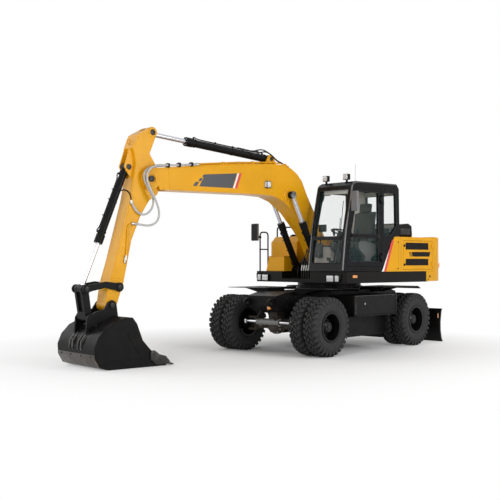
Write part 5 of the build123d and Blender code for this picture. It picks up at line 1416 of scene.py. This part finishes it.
def add_house_details():
    """Vents, caps, slots, tail lamps, bolts and seams on the upper structure."""
    vents = Shape()
    for index in range(9):
        x = -0.84 - 0.032 * index
        vents.block((x - 0.009, 1.1385, 2.205), (x + 0.009, 1.1435, 2.33), bevel=0.002)
    vents.done("cover_vents", "worn", "upper")
    caps = Shape()
    caps.rod((0.16, -0.86, 2.188), (0.16, -0.86, 2.222), 0.07, 32, bevel=0.008)
    caps.rod((0.16, -0.86, 2.22), (0.16, -0.86, 2.238), 0.04, 6, bevel=0.003)
    for y0, y1 in ((-1.18, -0.96), (-0.86, -0.64)):
        caps.block((-0.64, y0, 2.1902), (-0.12, y1, 2.1925), bevel=0)
        for x in (-0.6, -0.16):
            for y in (y0 + 0.03, y1 - 0.03):
                caps.bolt((x, y, 2.1925), (0, 0, 1), size=0.009)
    caps.done("tank_caps", "black", "upper")
    slots = Shape()
    slots.block((-1.29, -0.06, 2.2185), (-1.235, 0.06, 2.23), bevel=0.004)
    for index in range(14):
        y = -0.62 + 0.09 * index
        slots.block((-1.56, y, 2.212), (-1.33, y + 0.03, 2.2195), bevel=0.002)
    slots.done("hood_slots", "black", "hood")
    for name, finish, start, sweep in (
        ("tail_lamps", "ruby", 25.0, 4.5),
        ("tail_blinkers", "amber", 30.0, 2.5),
    ):
        lamp = Shape()
        for angle in (180 + start, 180 - start - sweep):
            lamp.turned(TAIL_LAMP, (0, 0, 0), (0, 0, 1), segments=6, start=angle, sweep=sweep)
        lamp.done(name, finish, "upper")
    feet = Shape()
    for side, _ in SIDES:
        feet.bolt((-1.6, side * HOUSE_SIDE, 1.385), (0, side, 0), size=0.015)
        feet.bolt((-1.548, side * HOUSE_SIDE, 1.33), (0, side, 0), size=0.01)
    feet.done("weight_bolts", "nut", "upper")
    side_lines("panel_seam", PANEL_SEAMS, 0.0025, "seal")


def add_channel_hoses():
    """Hoses that rise from the deck's front channel along the boom's foot."""
    fittings, risers = Shape(), Shape()
    for index, y in enumerate((0.06, 0.0, -0.06, -0.12)):
        risers.rod((0.64, y, 1.352), (0.64, y, 1.502), 0.011, 12)
        fittings.rod((0.64, y, 1.5), (0.64, y, 1.535), 0.016, 6, bevel=0.001)
        fittings.rod((0.64, y, 1.535), (0.628, y, 1.61), 0.013, 16, bevel=0.001)
        line = [(0.63, 1.6), (0.615, 1.66), (0.57, 1.74), (0.52, 1.84), (0.49, 1.94)]
        pipe(f"foot_hose_{index}", [(x, y, z) for x, z in line], 0.012, "hose", "upper")
    fittings.done("channel_fittings", "bolt", "upper")
    risers.done("channel_risers", "hose", "upper")


# Ends of the step boxes' edges, and the left steering hose
STEP_REAR, STEP_FRONT = -0.61, 0.78
STEERING_HOSE = [
    (1.96, 0.08, 0.8), (2.0, 0.09, 0.74), (1.98, 0.18, 0.66), (1.9, 0.23, 0.6),
    (1.872, 0.235, 0.56),
]


def add_chassis_details():
    """Locks, reflectors, edges and bolts between the wheels and at the frame's ends."""
    steps, lock, reflector, bolts, cover = (Shape() for _ in range(5))
    near, far = 1.1702, 1.178
    steps.pair((STEP_REAR, near, 1.04), (STEP_FRONT, far, 1.05), bevel=0.001)
    steps.pair((STEP_REAR, near, 0.6605), (STEP_FRONT, far, 0.668), bevel=0.001)
    for x in (-0.61, 0.77):
        steps.pair((x - 0.004, near, 0.69), (x + 0.004, far, 1.045), bevel=0)
    reflector.pair((-2.11, 1.2452, 0.511), (-2.08, 1.25, 0.604), bevel=0.001)
    for side, word in SIDES:
        for x in (-0.45, -0.2, 0.3, 0.6):
            steps.rod((x, side * 1.168, 1.02), (x, side * 1.182, 1.02), 0.01, 6)
        lock.rod((0.48, side * 1.168, 0.893), (0.48, side * 1.186, 0.893), 0.019, 24, bevel=0.003)
        for x in (1.25, 1.5, 1.74):
            for z in (1.02, 0.86):
                bolts.bolt((x, side * 0.345, z), (0, side, 0))
        line = [(x, side * y, z) for x, y, z in STEERING_HOSE]
        pipe("steering_hose_" + word, line, 0.009, "hose", "chassis")
    for x, y in around(28, 0.64):
        bolts.bolt((x, y, 1.1998), (0, 0, 1), size=0.011)
    for x, way in ((1.708, 1), (-1.318, -1)):
        for y, z in around(12, 0.168):
            cover.bolt((x, y, AXLE_Z + z), (way, 0, 0), size=0.009)
    steps.done("step_box_edges", "worn", "chassis")
    lock.done("step_box_locks", "bolt", "chassis")
    reflector.done("blade_reflectors", "amber", "blade")
    bolts.done("frame_bolts", "nut", "chassis")
    cover.done("axle_bolts", "bolt", "chassis")


# Stage, light and camera
FADE_FROM, FADE_TO = 2.0, 6.5
# Name, place, power in watts, size
LAMPS = [
    ("key", (12.0, 3.0, 4.5), 480, 5.0),
    ("side", (0.0, 11.0, 4.5), 640, 6.0),
    ("fill", (6.0, -9.0, 6.0), 250, 8.0),
    ("back", (-10.0, 0.0, 8.0), 160, 7.0),
]


def add_stage():
    """A pale floor that fades to the white of the background away from the object."""
    shape = Shape()
    bmesh.ops.create_grid(shape.mesh, x_segments=1, y_segments=1, size=200)
    floor = put("floor", shape.data("floor"))
    m = Nodes("pale floor")
    m.set(base_color=(0.94, 0.94, 0.94), roughness=0.9)
    far = m.add("VectorMath", operation="LENGTH")
    m.link(m.place(), far.inputs[0])
    fade = m.add("MapRange")
    fade.inputs["From Min"].default_value = FADE_FROM
    fade.inputs["From Max"].default_value = FADE_TO
    m.link(far.outputs["Value"], fade.inputs["Value"])
    share = m.combine("MULTIPLY", m.seen(), fade.outputs[0])
    m.blend_in(share, m.add("Emission"), "Material Output")
    floor.data.materials.append(m.owner)
    floor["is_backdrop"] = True


def add_world():
    world = bpy.context.scene.world = bpy.data.worlds.new("studio")
    m = Nodes("studio", world)
    m.set(color=(1, 1, 1), strength=0.42)
    white = m.add("Background")
    white.inputs["Color"].default_value = (1, 1, 1, 1)
    white.inputs["Strength"].default_value = 1.0
    m.blend_in(m.seen(), white, "World Output")


def add_lamps():
    for name, at, power, size in LAMPS:
        data = bpy.data.lights.new(name, "AREA")
        data.energy = power
        data.size = size
        lamp = put(name, data)
        lamp.location = at
        aim = Vector((0, 0, 1.2)) - Vector(at)
        lamp.rotation_euler = aim.to_track_quat("-Z", "Y").to_euler()


def add_camera():
    data = bpy.data.cameras.new("camera")
    data.lens = CAMERA_LENS
    camera = put("camera", data)
    turn, rise = math.radians(CAMERA_AZIMUTH), math.radians(CAMERA_ELEVATION)
    flat = math.cos(rise)
    ahead = Vector((-math.sin(turn) * flat, math.cos(turn) * flat, -math.sin(rise)))
    camera.location = CAMERA_AT
    camera.rotation_euler = ahead.to_track_quat("-Z", "Y").to_euler()
    bpy.context.scene.camera = camera


def corners():
    return [list(corner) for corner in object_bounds()]


def main():
    for item in list(bpy.data.objects):
        bpy.data.objects.remove(item)
    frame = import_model()
    dress_nodes(frame["nodes"])
    for add in (
        add_camera, add_world, add_lamps, add_stage, add_wheels, add_boom_marks, add_pins,
        add_welds, add_hoses, add_plain_pieces, add_stripes, add_louvres, add_deck_lamps,
        add_barrels, add_rod_eyes, add_boom_details, add_bucket_details, add_cab_outside,
        add_cab_room, add_steering_wheel, add_seat, add_house_details, add_channel_hoses,
        add_chassis_details,
    ):
        add()
    bpy.context.scene.view_settings.view_transform = "Standard"


main()
